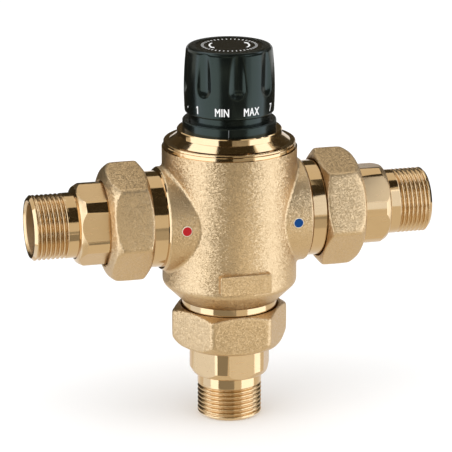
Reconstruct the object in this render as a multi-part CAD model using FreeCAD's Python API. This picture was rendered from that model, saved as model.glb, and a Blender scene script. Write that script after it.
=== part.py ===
import FreeCAD, Part
import math
import os

from FreeCAD import Vector

# Adjustable mixing valve for domestic hot water, with union tails, in millimetres.
# The origin is the centre of the outlet's end, +Z is up and the dial's index faces -Y.
# Hot water enters from -X, cold water from +X, and mixed water leaves downwards.

# Whole valve
inlet_axis_z = 107.5
inlet_reach = 104.5
sliding_gap = 0.3
fit_gap = 0.1

# Threaded tail, measured from its open end inwards
thread_radius = 16.62
thread_pitch = 2.309
thread_depth = 1.3
thread_crest = 0.45
thread_turns = 7
thread_start = 1.6
tail_plain_length = 4.7
tail_bore_radius = 12.8
tail_end_chamfer = 1.4
tail_bore_chamfer = 1.2
tail_hex_flats = 39.0
tail_hex_turned_radius = 21.0
tail_hex_foot_radius = 17.1
tail_hex_dome_radius = 19.3
tail_hex_dome_rise = 0.7
tail_hex_dome_length = 3.9
tail_hex_dome_round = 2.5
tail_hex_under_nut = 1.0
tail_flange_radius = 22.3
tail_flange_thickness = 4.0
outlet_tail_reach = 37.7

# Union nut, measured from its outer face inwards
nut_flats = 53.4
nut_edge_round = 2.5
nut_length = 21.6
nut_lip_thickness = 4.5
nut_lip_gap = 0.4
nut_lip_chamfer = 0.6
nut_outer_rim_radius = 22.6
nut_dome_radius = 27.6
nut_dome_rise = 1.9
nut_dome_length = 5.6
nut_dome_round = 8.0
nut_inner_rim_radius = 26.6
nut_inner_cone_length = 2.2
nut_relief_radius = 25.4
nut_relief_depth = 2.4
union_thread_radius = 23.9
union_thread_gap = 0.2
gasket_thickness = 2.0
gasket_outer_radius = 22.0
gasket_bore_radius = 15.0
nut_tilts = {"hot": 15.5, "cold": 17.0, "outlet": -2.0}
tail_tilts = {"hot": 9.6, "cold": -24.0, "outlet": 4.0}

# Body casting
barrel_radius = 34.5
barrel_top = 143.4
rim_radius = 33.7
body_top = 145.4
rim_edge_chamfer = 0.3
shoulder_round = 4.0
shoulder_cone_top = 72.3
shoulder_cone_bottom = 63.2
shoulder_cone_foot_radius = 25.2
boss_radius = 26.6
branch_show = 3.2
collar_show = 7.6
boss_edge_round = 1.0
boss_fillet = 1.8
boss_face_radius = 25.8
collar_radius = 24.6
collar_in_nut = 1.4
pad_width = 26.8
pad_height = 10.3
pad_centre_x = -0.7
pad_bottom = 74.5
pad_face = 36.0
pad_corner_round = 1.3
pad_edge_round = 0.5
pad_root = 26.0
marker_radius = 2.7
marker_depth = 1.2
marker_proud = 0.25
marker_inset = 8.6

# Water ways inside the casting
chamber_radius = 28.0
chamber_floor = 78.0
web_thickness = 9.0
web_bore_radius = 20.0
inlet_bore_radius = 15.0
inlet_bore_end = 31.0
inlet_bore_chamfer = 1.0
outlet_throat_radius = 15.0
outlet_bore_radius = 17.4
spring_ledge_z = 60.0
bonnet_bore_radius = 30.0
bonnet_bore_depth = 14.4

# Hot seat, pressed into the chamber's floor
seat_flange_radius = 24.0
seat_flange_thickness = 3.0
seat_recess_depth = 1.5
seat_rim_radius = 20.2
seat_rim_height = 9.0
seat_rim_chamfer = 0.8

# Shutter, the hollow piston between the hot and the cold seat
shutter_radius = 19.8
shutter_lift_hot = 2.5
shutter_length = 33.0
shutter_lower_bore = 17.4
shutter_upper_bore = 17.2
shutter_sleeve_bore = 15.0
shutter_sleeve_start = 7.0
shutter_sleeve_end = 21.0
shutter_seal_station = 16.2
shutter_seal_section = 1.0
shutter_groove_width = 2.4
hub_radius = 10.5
hub_height = 6.0
spoke_width = 5.0
spoke_count = 3

# Wax sensor and its pin
sensor_bulb_radius = 6.0
sensor_bulb_length = 38.0
sensor_bulb_round = 2.5
sensor_flange_radius = 9.0
sensor_flange_thickness = 3.0
sensor_stem_radius = 4.2
sensor_stem_length = 10.5
sensor_stem_chamfer = 0.8
sensor_pin_radius = 1.9
sensor_pin_gap = 0.2
sensor_pin_length = 11.0
sensor_hole_depth = 9.5

# Return spring under the shutter
return_wire = 1.8
return_mean_radius = 16.0
return_turns = 6.0

# Carrier, the drive nut that the spindle raises and lowers
carrier_radius = 14.0
carrier_bottom = 118.0
carrier_length = 22.0
carrier_cavity_radius = 10.5
carrier_cavity_depth = 13.0
carrier_lug_radius = 17.0
carrier_lug_width = 8.0
carrier_lug_length = 8.0
carrier_lug_drop = 1.0
carrier_clip_station = 1.2
clip_thickness = 1.2
carrier_clip_bore = 8.2
carrier_groove_depth = 0.8
clip_opening_deg = 50.0

# Overload cup and spring inside the carrier
cup_thickness = 2.0
cup_boss_radius = 6.4
cup_boss_height = 3.6
cup_dimple_depth = 1.0
overload_wire = 2.2
overload_mean_radius = 8.3
overload_turns = 2.5

# Bonnet
bonnet_flange_radius = 33.6
bonnet_flange_thickness = 1.4
bonnet_cone_foot_radius = 30.8
bonnet_shoulder_radius = 26.7
bonnet_cone_height = 2.9
bonnet_shoulder_height = 1.9
bonnet_edge_round = 0.5
bonnet_ceiling = 149.0
cold_seat_z = 127.1
cold_seat_radius = 19.8
cold_seat_chamfer = 0.6
bonnet_relief_inner = 20.6
bonnet_relief_outer = 26.2
bonnet_relief_height = 11.0
bonnet_slot_top = 142.6
bonnet_seal_section = 0.9
bonnet_groove_top = 0.5
bonnet_neck_radius = 12.0
bonnet_neck_flats = 21.0
bonnet_neck_height = 5.4

# Spindle
journal_radius = 6.0
journal_gap = 0.1
spindle_thread_radius = 5.8
spindle_thread_gap = 0.2
spindle_bottom = 131.5
spindle_collar_radius = 9.0
spindle_collar_thickness = 3.4
thrust_washer_thickness = 1.0
spindle_seal_section = 0.72
spindle_groove_width = 1.8
spindle_seal_drops = {"spindle_seal_lower": 5.6, "spindle_seal_upper": 2.4}
spindle_clip_radius = 8.5
spindle_clip_groove = 4.8
square_flats = 8.4
square_start = 160.0
square_below_top = 13.9

# Stop ring under the knob
ring_radius = 23.9
ring_height = 6.4
ring_edge_round = 0.8
ring_spigot_radius = 20.8
ring_spigot_height = 3.4
ring_core_inner = 14.5
ring_core_outer = 21.0
ring_core_height = 4.4
ring_rib_width = 1.6
ring_rib_count = 6
index_azimuth = -16.0
index_width = 0.7
index_depth = 0.35
stop_inner_radius = 14.0
stop_outer_radius = 19.6
stop_width_deg = 13.5
stop_height = 2.8
stop_azimuth = 180.0
knob_travel_deg = 330.0

# Knob
knob_gap = 0.3
knob_foot_radius = 22.7
knob_belly_radius = 23.0
knob_belly_height = 5.8
knob_shoulder_radius = 21.75
knob_height = 34.0
knob_foot_round = 1.0
knob_top_round = 2.2
knob_cavity_radius = 20.4
knob_cavity_top_radius = 19.0
knob_roof_thickness = 3.5
knob_hub_radius = 9.0
knob_hub_foot = 1.5
knob_socket_gap = 0.1
knob_rib_width = 1.6
knob_rib_count = 6
knob_rib_height = 15.0
knob_seat_thickness = 3.0
knob_well_radius = 6.0
flute_count = 8
flute_azimuth = -4.6
flute_radius = 6.9
flute_low_height = 15.6
flute_low_depth = 1.9
flute_high_drop = 2.2
flute_high_depth = 0.3
cap_radius = 17.0
cap_thickness = 2.0
cap_recess = 0.2
cap_edge_round = 0.3
cap_plug_radius = 5.7
cap_plug_length = 4.0
screw_radius = 2.0
screw_length = 13.0
screw_head_radius = 4.2
screw_head_height = 2.6
screw_head_round = 1.2
screw_slot_width = 1.0
screw_slot_depth = 1.3

UP = Vector(0, 0, 1)
CENTRE = Vector(0, 0, 0)

# Levels that follow from the sizes above
thread_length = thread_start + thread_turns * thread_pitch
boss_face = barrel_radius + branch_show
inlet_tail_reach = inlet_reach - boss_face - collar_show - nut_length
ring_bottom = body_top + bonnet_flange_thickness + bonnet_cone_height + bonnet_shoulder_height
ring_top = ring_bottom + ring_height
knob_bottom = ring_top + ring_spigot_height + knob_gap
knob_top = knob_bottom + knob_height
bonnet_foot = body_top - bonnet_bore_depth
seat_floor = chamber_floor - seat_recess_depth
seat_top = seat_floor + seat_flange_thickness + seat_rim_height
shutter_bottom = seat_top + shutter_lift_hot
hub_top = shutter_bottom + shutter_sleeve_start + hub_height
sensor_stem_top = hub_top + sensor_flange_thickness + sensor_stem_length
carrier_top = carrier_bottom + carrier_length
cup_bottom = carrier_bottom + carrier_clip_station + clip_thickness
cup_top = cup_bottom + cup_thickness
carrier_ceiling = carrier_bottom + carrier_cavity_depth
collar_top = bonnet_ceiling - thrust_washer_thickness - fit_gap
neck_top = ring_bottom + bonnet_neck_height
spindle_seal_heights = {name: neck_top - drop for name, drop in spindle_seal_drops.items()}
cap_floor = knob_top - cap_recess - cap_thickness
square_top = knob_top - square_below_top
screw_seat = square_top + knob_gap + knob_seat_thickness


def rounded_wire(corners):
    """Closed outline in the XZ plane from (radius, height) corners; a third number rounds one."""
    points = [Vector(corner[0], 0, corner[1]) for corner in corners]
    rounds = [corner[2] if len(corner) > 2 else 0 for corner in corners]
    count = len(points)
    spans = []
    for index, point in enumerate(points):
        if rounds[index] == 0:
            spans.append((point, point, point))
            continue
        back = (points[index - 1] - point).normalize()
        ahead = (points[(index + 1) % count] - point).normalize()
        half = back.getAngle(ahead) / 2
        middle = (back + ahead).normalize()
        run = rounds[index] / math.tan(half)
        bulge = rounds[index] / math.sin(half) - rounds[index]
        spans.append((point + back * run, point + middle * bulge, point + ahead * run))
    edges = []
    for index, (entry, crest, leave) in enumerate(spans):
        if rounds[index] > 0:
            edges.append(Part.Arc(entry, crest, leave).toShape())
        following = spans[(index + 1) % count][0]
        if leave.distanceToPoint(following) > 1e-6:
            edges.append(Part.LineSegment(leave, following).toShape())
    return Part.Wire(edges)


def turned(corners):
    """Solid of revolution about Z."""
    return Part.Face(rounded_wire(corners)).revolve(CENTRE, UP, 360)


def ring(inner, outer, bottom, height):
    """Plain ring about Z with a rectangular section."""
    return turned([(inner, bottom), (outer, bottom), (outer, bottom + height), (inner, bottom + height)])


def disc(radius, bottom, height):
    """Plain cylinder about Z."""
    return Part.makeCylinder(radius, height, Vector(0, 0, bottom), UP)


def o_ring(section, bore, height):
    """Seal ring whose inner edge lies at the given radius."""
    return Part.makeTorus(bore + section, section, Vector(0, 0, height), UP)


def prism(flats, sides, bottom, height, facing, edge_round=0):
    """Regular prism about Z, one of whose flats faces the given direction in degrees."""
    corner_radius = flats / 2 / math.cos(math.pi / sides)
    corners = []
    for side in range(sides + 1):
        angle = math.radians(facing + (side + 0.5) * 360 / sides)
        corners.append(Vector(corner_radius * math.cos(angle), corner_radius * math.sin(angle), bottom))
    solid = Part.Face(Part.makePolygon(corners)).extrude(UP * height)
    if edge_round > 0:
        upright = [edge for edge in solid.Edges if abs(edge.tangentAt(edge.FirstParameter).z) > 0.9]
        solid = solid.makeFillet(edge_round, upright)
    return solid


def spoke(inner, outer, width, bottom, height, angle):
    """Straight radial bar from one radius to another."""
    bar = Part.makeBox(outer - inner, width, height, Vector(inner, -width / 2, bottom))
    bar.rotate(CENTRE, UP, angle)
    return bar


def sector(inner, outer, bottom, height, middle, width):
    """Part of a ring, centred on an angle in degrees and that many degrees wide."""
    profile = rounded_wire([(inner, bottom), (outer, bottom), (outer, bottom + height), (inner, bottom + height)])
    solid = Part.Face(profile).revolve(CENTRE, UP, width)
    solid.rotate(CENTRE, UP, middle - width / 2)
    return solid


def from_front(azimuth):
    """Angle about Z, from +X, of a place that lies that far from -Y towards +X."""
    return azimuth - 90


def spring(wire, mean_radius, bottom, top, turns):
    """Round-wire coil of tilted half turns, with its ends ground flat between two seats."""
    halves = round(2 * turns)
    rise = (top - bottom) / halves
    tilt = math.atan(rise / 2 / mean_radius)
    wire_centre = Vector(mean_radius / math.cos(tilt), 0, 0)
    section = Part.Face(Part.Wire(Part.makeCircle(wire / 2, wire_centre, Vector(0, 1, 0))))
    coil = []
    for index in range(halves):
        side = -1 if index % 2 else 1
        half = section.revolve(CENTRE, UP, 180)
        half.rotate(CENTRE, UP, 90 - 90 * side)
        half.rotate(CENTRE, Vector(0, 1, 0), side * math.degrees(tilt))
        half.translate(Vector(0, 0, bottom + (index + 0.5) * rise))
        coil.append(half)
    between_seats = disc(mean_radius + 2 * wire, bottom, top - bottom)
    return coil[0].fuse(coil[1:]).common(between_seats)


def split_clip(bore, outer, bottom, thickness, middle):
    """Flat retaining ring with an opening."""
    return sector(bore, outer, bottom, thickness, middle, 360 - clip_opening_deg)


PORTS = {
    "hot": (Vector(-inlet_reach, 0, inlet_axis_z), Vector(1, 0, 0), inlet_tail_reach),
    "cold": (Vector(inlet_reach, 0, inlet_axis_z), Vector(-1, 0, 0), inlet_tail_reach),
    "outlet": (CENTRE, UP, outlet_tail_reach),
}


def at_port(solid, port):
    """Move a piece made along Z from a tail's open end to that port."""
    origin, inward, reach = PORTS[port]
    solid.Placement = FreeCAD.Placement(origin, FreeCAD.Rotation(UP, inward))
    return solid


def facing_at(port, tilt):
    """Direction of a hexagon's front flat in the port's own frame, from its tilt in degrees."""
    return {"hot": -90 - tilt, "cold": tilt - 90, "outlet": from_front(tilt)}[port]


def port_seat(reach):
    """Distance from a tail's open end to the gasket's face on the body."""
    return reach + nut_lip_thickness + tail_flange_thickness + gasket_thickness


def thread_profile():
    """Corners of the pipe thread's ridges, as rings of equal pitch."""
    flank = (thread_pitch - thread_crest) / 2
    corners = []
    for turn in range(thread_turns):
        edge = thread_start + turn * thread_pitch
        corners.append((thread_radius, edge))
        corners.append((thread_radius - thread_depth, edge + flank))
        corners.append((thread_radius, edge + 2 * flank))
    return corners


def make_tailpiece(port):
    """Turned tail: pipe thread, hexagon for the spanner, and the flange that the nut pulls on."""
    reach = PORTS[port][2]
    plain_end = thread_length + tail_plain_length
    hex_end = reach + tail_hex_under_nut
    flange_start = reach + nut_lip_thickness
    flange_end = flange_start + tail_flange_thickness
    blank = turned([
        (tail_bore_radius + tail_bore_chamfer, 0),
        (thread_radius - tail_end_chamfer, 0),
        (thread_radius, tail_end_chamfer),
        *thread_profile(),
        (thread_radius, plain_end),
        (tail_hex_foot_radius, plain_end),
        (tail_hex_dome_radius, plain_end + tail_hex_dome_rise, tail_hex_dome_round),
        (tail_hex_turned_radius, plain_end + tail_hex_dome_length),
        (tail_hex_turned_radius, flange_start),
        (tail_flange_radius, flange_start),
        (tail_flange_radius, flange_end),
        (tail_bore_radius, flange_end),
        (tail_bore_radius, tail_bore_chamfer),
    ])
    hex_length = hex_end - plain_end
    hexagon = prism(tail_hex_flats, 6, plain_end, hex_length, facing_at(port, tail_tilts[port]))
    waste = disc(2 * tail_hex_turned_radius, plain_end, hex_length).cut(hexagon)
    return at_port(blank.cut(waste), port)


def make_union_nut(port):
    """Hexagon nut with a lip at its outer end and a thread relief at its inner end."""
    start = PORTS[port][2]
    end = start + nut_length
    lip_radius = tail_hex_turned_radius + nut_lip_gap
    corner_radius = nut_flats / math.sqrt(3)
    thread_bore = union_thread_radius + union_thread_gap
    blank = turned([
        (lip_radius + nut_lip_chamfer, start),
        (nut_outer_rim_radius, start),
        (nut_dome_radius, start + nut_dome_rise, nut_dome_round),
        (corner_radius, start + nut_dome_length),
        (corner_radius, end - nut_inner_cone_length),
        (nut_inner_rim_radius, end),
        (nut_relief_radius, end),
        (nut_relief_radius, end - nut_relief_depth),
        (thread_bore, end - nut_relief_depth),
        (thread_bore, start + nut_lip_thickness - fit_gap),
        (lip_radius, start + nut_lip_thickness - fit_gap),
        (lip_radius, start + nut_lip_chamfer),
    ])
    hexagon = prism(nut_flats, 6, start, nut_length, facing_at(port, nut_tilts[port]), nut_edge_round)
    return at_port(blank.common(hexagon), port)


def make_gasket(port):
    """Flat washer between the tail's flange and the body."""
    start = port_seat(PORTS[port][2]) - gasket_thickness
    return at_port(ring(gasket_bore_radius, gasket_outer_radius, start, gasket_thickness), port)


def make_arm(port):
    """Outside of one inlet branch, from the valve's middle to the gasket's face."""
    reach = PORTS[port][2]
    collar_end = reach + nut_length - collar_in_nut
    solid = turned([
        (0, port_seat(reach)),
        (union_thread_radius, port_seat(reach)),
        (union_thread_radius, collar_end),
        (collar_radius, collar_end),
        (collar_radius, inlet_reach - boss_face),
        (boss_face_radius, inlet_reach - boss_face),
        (boss_radius, inlet_reach - boss_face + boss_edge_round, boss_edge_round),
        (boss_radius, inlet_reach),
        (0, inlet_reach),
    ])
    return at_port(solid, port)


def make_barrel():
    """Outside of the upright barrel with its conical shoulder and the outlet neck."""
    collar_end = outlet_tail_reach + nut_length - collar_in_nut
    return turned([
        (0, port_seat(outlet_tail_reach)),
        (union_thread_radius, port_seat(outlet_tail_reach)),
        (union_thread_radius, collar_end),
        (collar_radius, collar_end),
        (collar_radius, shoulder_cone_bottom),
        (shoulder_cone_foot_radius, shoulder_cone_bottom),
        (barrel_radius, shoulder_cone_top, shoulder_round),
        (barrel_radius, barrel_top),
        (rim_radius, barrel_top),
        (rim_radius, body_top - rim_edge_chamfer),
        (rim_radius - rim_edge_chamfer, body_top),
        (0, body_top),
    ])


def make_pad():
    """Bare raised field on the front of the barrel."""
    corner = Vector(pad_centre_x - pad_width / 2, -pad_face, pad_bottom)
    pad = Part.makeBox(pad_width, pad_face - pad_root, pad_height, corner)
    along_y = [edge for edge in pad.Edges if abs(edge.tangentAt(edge.FirstParameter).y) > 0.9]
    pad = pad.makeFillet(pad_corner_round, along_y)
    front = [edge for edge in pad.Edges if abs(edge.BoundBox.YMax + pad_face) < 1e-6]
    return pad.makeFillet(pad_edge_round, front)


def inlet_way(port, window_bottom, window_top):
    """Bore of one inlet, closed at the chamber's wall apart from a window."""
    origin, inward, reach = PORTS[port]
    depth = inlet_reach - inlet_bore_end
    bore = at_port(turned([
        (0, 0),
        (inlet_bore_radius, 0),
        (inlet_bore_radius, depth - inlet_bore_chamfer),
        (inlet_bore_radius - inlet_bore_chamfer, depth),
        (0, depth),
    ]), port)
    inner_end = origin + inward * (inlet_reach - web_bore_radius)
    window = Part.makeCylinder(inlet_bore_radius, inlet_bore_end, inner_end, inward * -1)
    span = Part.makeBox(
        2 * inlet_reach, 2 * inlet_bore_radius, window_top - window_bottom,
        Vector(-inlet_reach, -inlet_bore_radius, window_bottom))
    return bore.fuse(window.common(span))


def marker_place(side):
    """Centre of a marker on the boss's front, and its outward direction."""
    return Vector(side * (boss_face - marker_inset), -boss_radius, inlet_axis_z), Vector(0, -1, 0)


def make_marker(side):
    """Coloured plug, slightly crowned, pressed into the boss."""
    place, outward = marker_place(side)
    plug = turned([
        (0, 0),
        (marker_radius, 0),
        (marker_radius, marker_depth + marker_proud, marker_proud),
        (0, marker_depth + marker_proud),
    ])
    plug.Placement = FreeCAD.Placement(place - outward * marker_depth, FreeCAD.Rotation(UP, outward))
    return plug


def on_boss_root(edge):
    """True for the curve where a branch runs into the barrel."""
    middle = edge.valueAt((edge.FirstParameter + edge.LastParameter) / 2)
    off_barrel = abs(math.hypot(middle.x, middle.y) - barrel_radius)
    off_boss = abs(math.hypot(middle.y, middle.z - inlet_axis_z) - boss_radius)
    return max(off_barrel, off_boss) < 0.01


def make_body():
    """One casting: barrel, two branches, outlet neck, and the water ways machined into it."""
    outside = make_barrel().fuse([make_arm("hot"), make_arm("cold")]).removeSplitter()
    outside = outside.makeFillet(boss_fillet, [edge for edge in outside.Edges if on_boss_root(edge)])
    outside = outside.fuse(make_pad())
    web_bottom = inlet_axis_z - web_thickness / 2
    web_top = inlet_axis_z + web_thickness / 2
    hollow = turned([
        (0, 0),
        (outlet_throat_radius, 0),
        (outlet_throat_radius, spring_ledge_z),
        (outlet_bore_radius, spring_ledge_z),
        (outlet_bore_radius, seat_floor),
        (seat_flange_radius + fit_gap, seat_floor),
        (seat_flange_radius + fit_gap, chamber_floor),
        (chamber_radius, chamber_floor),
        (chamber_radius, web_bottom),
        (web_bore_radius, web_bottom),
        (web_bore_radius, web_top),
        (chamber_radius, web_top),
        (chamber_radius, bonnet_foot),
        (bonnet_bore_radius, bonnet_foot),
        (bonnet_bore_radius, body_top),
        (0, body_top),
    ])
    hot_way = inlet_way("hot", inlet_axis_z - inlet_bore_radius, web_bottom)
    cold_way = inlet_way("cold", web_top, inlet_axis_z + inlet_bore_radius)
    body = outside.cut([hollow, hot_way, cold_way])
    for side in (-1, 1):
        place, outward = marker_place(side)
        body = body.cut(Part.makeCylinder(marker_radius + fit_gap, 2 * marker_depth,
                                          place - outward * marker_depth, outward))
    return body


def make_hot_seat():
    """Ring whose upper rim the shutter's lower lip closes on."""
    flange_top = seat_floor + seat_flange_thickness
    return turned([
        (outlet_bore_radius, seat_floor),
        (seat_flange_radius, seat_floor),
        (seat_flange_radius, flange_top),
        (seat_rim_radius, flange_top),
        (seat_rim_radius, seat_top - seat_rim_chamfer),
        (seat_rim_radius - seat_rim_chamfer, seat_top),
        (outlet_bore_radius, seat_top),
    ])


def make_shutter():
    """Hollow piston with a seal groove outside and a spoked hub for the sensor inside."""
    seal_z = shutter_bottom + shutter_seal_station
    groove_floor = shutter_radius - 2 * shutter_seal_section + fit_gap
    sleeve_bottom = shutter_bottom + shutter_sleeve_start
    top = shutter_bottom + shutter_length
    sleeve_cone = shutter_upper_bore - shutter_sleeve_bore
    piston = turned([
        (shutter_lower_bore, shutter_bottom),
        (shutter_radius, shutter_bottom),
        (shutter_radius, seal_z - shutter_groove_width / 2),
        (groove_floor, seal_z - shutter_groove_width / 2),
        (groove_floor, seal_z + shutter_groove_width / 2),
        (shutter_radius, seal_z + shutter_groove_width / 2),
        (shutter_radius, top),
        (shutter_upper_bore, top),
        (shutter_upper_bore, shutter_bottom + shutter_sleeve_end + sleeve_cone),
        (shutter_sleeve_bore, shutter_bottom + shutter_sleeve_end),
        (shutter_sleeve_bore, sleeve_bottom),
        (shutter_lower_bore, sleeve_bottom),
    ])
    hub_bore = sensor_bulb_radius + sliding_gap
    hub = ring(hub_bore, hub_radius, sleeve_bottom, hub_height)
    spokes = []
    for index in range(spoke_count):
        reach = (shutter_sleeve_bore + shutter_lower_bore) / 2
        inner = (hub_bore + hub_radius) / 2
        spokes.append(spoke(inner, reach, spoke_width, sleeve_bottom, hub_height, index * 360 / spoke_count))
    return piston.fuse([hub] + spokes).removeSplitter()


def make_shutter_seal():
    """Seal ring between the shutter and the casting's web."""
    bore = shutter_radius - 2 * shutter_seal_section + fit_gap
    return o_ring(shutter_seal_section, bore, shutter_bottom + shutter_seal_station)


def make_sensor():
    """Wax element: bulb below, flange on the shutter's hub, guide stem above."""
    flange_top = hub_top + sensor_flange_thickness
    element = turned([
        (0, hub_top - sensor_bulb_length),
        (sensor_bulb_radius, hub_top - sensor_bulb_length, sensor_bulb_round),
        (sensor_bulb_radius, hub_top),
        (sensor_flange_radius, hub_top),
        (sensor_flange_radius, flange_top),
        (sensor_stem_radius, flange_top),
        (sensor_stem_radius, sensor_stem_top - sensor_stem_chamfer),
        (sensor_stem_radius - sensor_stem_chamfer, sensor_stem_top),
        (0, sensor_stem_top),
    ])
    hole = disc(sensor_pin_radius + sensor_pin_gap, sensor_stem_top - sensor_hole_depth, sensor_hole_depth)
    return element.cut(hole)


def make_sensor_pin():
    """Pin that the wax pushes against the overload cup."""
    top = cup_bottom + cup_dimple_depth
    return disc(sensor_pin_radius, top - sensor_pin_length, sensor_pin_length)


def make_carrier():
    """Drive nut: threaded above, hollow below for the overload spring, with two guide lugs."""
    groove_bottom = carrier_bottom + carrier_clip_station
    groove_radius = carrier_cavity_radius + carrier_groove_depth
    thread_bore = spindle_thread_radius + spindle_thread_gap
    barrel = turned([
        (carrier_cavity_radius, carrier_bottom),
        (carrier_radius, carrier_bottom),
        (carrier_radius, carrier_top),
        (thread_bore, carrier_top),
        (thread_bore, carrier_ceiling),
        (carrier_cavity_radius, carrier_ceiling),
        (carrier_cavity_radius, groove_bottom + clip_thickness),
        (groove_radius, groove_bottom + clip_thickness),
        (groove_radius, groove_bottom),
        (carrier_cavity_radius, groove_bottom),
    ])
    lug_bottom = carrier_top - carrier_lug_drop - carrier_lug_length
    lug_root = (carrier_cavity_radius + carrier_radius) / 2
    lugs = [spoke(lug_root, carrier_lug_radius, carrier_lug_width, lug_bottom, carrier_lug_length, angle)
            for angle in (0, 180)]
    return barrel.fuse(lugs).removeSplitter()


def make_carrier_clip():
    """Retaining ring that keeps the cup in the carrier."""
    outer = carrier_cavity_radius + carrier_groove_depth - fit_gap
    return split_clip(carrier_clip_bore, outer, carrier_bottom + carrier_clip_station, clip_thickness, 90)


def make_overload_cup():
    """Cup that gives way upwards when the sensor expands past the shutter's travel."""
    cup = turned([
        (0, cup_bottom),
        (carrier_cavity_radius - sliding_gap, cup_bottom),
        (carrier_cavity_radius - sliding_gap, cup_top),
        (cup_boss_radius, cup_top),
        (cup_boss_radius, cup_top + cup_boss_height),
        (0, cup_top + cup_boss_height),
    ])
    return cup.cut(disc(sensor_pin_radius + fit_gap, cup_bottom, cup_dimple_depth))


def bonnet_outline():
    """Half section of the bonnet, bored for the spindle and the carrier."""
    chamber = carrier_radius + sliding_gap
    skirt = bonnet_bore_radius - fit_gap
    groove_floor = skirt - 2 * bonnet_seal_section
    groove_high = body_top - bonnet_groove_top
    groove_low = groove_high - 2 * bonnet_seal_section - 2 * fit_gap
    flange_top = body_top + bonnet_flange_thickness
    relief_top = bonnet_foot + bonnet_relief_height
    return [
        (chamber, cold_seat_z),
        (cold_seat_radius - cold_seat_chamfer, cold_seat_z),
        (cold_seat_radius, cold_seat_z + cold_seat_chamfer),
        (cold_seat_radius, bonnet_foot),
        (bonnet_relief_inner, bonnet_foot),
        (bonnet_relief_inner, relief_top),
        (bonnet_relief_outer, relief_top),
        (bonnet_relief_outer, bonnet_foot),
        (skirt, bonnet_foot),
        (skirt, groove_low),
        (groove_floor, groove_low),
        (groove_floor, groove_high),
        (skirt, groove_high),
        (skirt, body_top),
        (bonnet_flange_radius - rim_edge_chamfer, body_top),
        (bonnet_flange_radius, body_top + rim_edge_chamfer),
        (bonnet_flange_radius, flange_top, bonnet_edge_round),
        (bonnet_cone_foot_radius, flange_top),
        (bonnet_shoulder_radius, flange_top + bonnet_cone_height),
        (bonnet_shoulder_radius, ring_bottom, bonnet_edge_round),
        (bonnet_neck_radius, ring_bottom),
        (bonnet_neck_radius, neck_top),
        (journal_radius + journal_gap, neck_top),
        (journal_radius + journal_gap, bonnet_ceiling),
        (chamber, bonnet_ceiling),
    ]


def neck_waste(radius, flats, bottom, height):
    """What two flats take off a round neck."""
    block = Part.makeBox(4 * radius, flats, height, Vector(-2 * radius, -flats / 2, bottom))
    return disc(2 * radius, bottom, height).cut(block)


def make_bonnet():
    """Turned bonnet: screwed into the barrel, cold seat below, flatted neck for the stop ring above."""
    bonnet = turned(bonnet_outline())
    slot_width = carrier_lug_width + 2 * sliding_gap
    slot_reach = carrier_lug_radius + sliding_gap
    slots = [spoke(journal_radius, slot_reach, slot_width, cold_seat_z, bonnet_slot_top - cold_seat_z, angle)
             for angle in (0, 180)]
    flats = neck_waste(bonnet_neck_radius, bonnet_neck_flats, ring_bottom, bonnet_neck_height)
    return bonnet.cut(slots + [flats])


def make_bonnet_seal():
    """Seal ring under the bonnet's flange."""
    section = bonnet_seal_section
    height = body_top - bonnet_groove_top - section - fit_gap
    return o_ring(section, bonnet_bore_radius - fit_gap - 2 * section, height)


def make_spindle():
    """Spindle: thread below, thrust collar, sealed journal, clip groove, square and tapped end."""
    groove_floor = journal_radius - 2 * spindle_seal_section + journal_gap / 2
    clip_bottom = neck_top + fit_gap
    clip_top = clip_bottom + clip_thickness + fit_gap
    collar_bottom = collar_top - spindle_collar_thickness
    blank = turned([
        (0, spindle_bottom),
        (spindle_thread_radius, spindle_bottom),
        (spindle_thread_radius, collar_bottom),
        (spindle_collar_radius, collar_bottom),
        (spindle_collar_radius, collar_top),
        (journal_radius, collar_top),
        (journal_radius, clip_bottom),
        (spindle_clip_groove, clip_bottom),
        (spindle_clip_groove, clip_top),
        (journal_radius, clip_top),
        (journal_radius, square_top),
        (0, square_top),
    ])
    square = prism(square_flats, 4, square_start, square_top - square_start, 0)
    waste = disc(2 * journal_radius, square_start, square_top - square_start).cut(square)
    grooves = [ring(groove_floor, 2 * journal_radius, height - spindle_groove_width / 2, spindle_groove_width)
               for height in spindle_seal_heights.values()]
    tapped_bottom = screw_seat - screw_length - sliding_gap
    tapped = disc(screw_radius + fit_gap, tapped_bottom, square_top - tapped_bottom)
    return blank.cut(grooves + [waste, tapped])


def make_spindle_seal(name):
    """Seal ring in one of the spindle's grooves."""
    bore = journal_radius - 2 * spindle_seal_section + journal_gap / 2
    return o_ring(spindle_seal_section, bore, spindle_seal_heights[name])


def make_spindle_clip():
    """Retaining ring above the bonnet's neck."""
    bottom = neck_top + 1.5 * fit_gap
    return split_clip(spindle_clip_groove + fit_gap, spindle_clip_radius, bottom, clip_thickness, 0)


def make_thrust_washer():
    """Slippery washer between the spindle's collar and the bonnet."""
    bore = journal_radius + sliding_gap
    return ring(bore, spindle_collar_radius, bonnet_ceiling - thrust_washer_thickness, thrust_washer_thickness)


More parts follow.
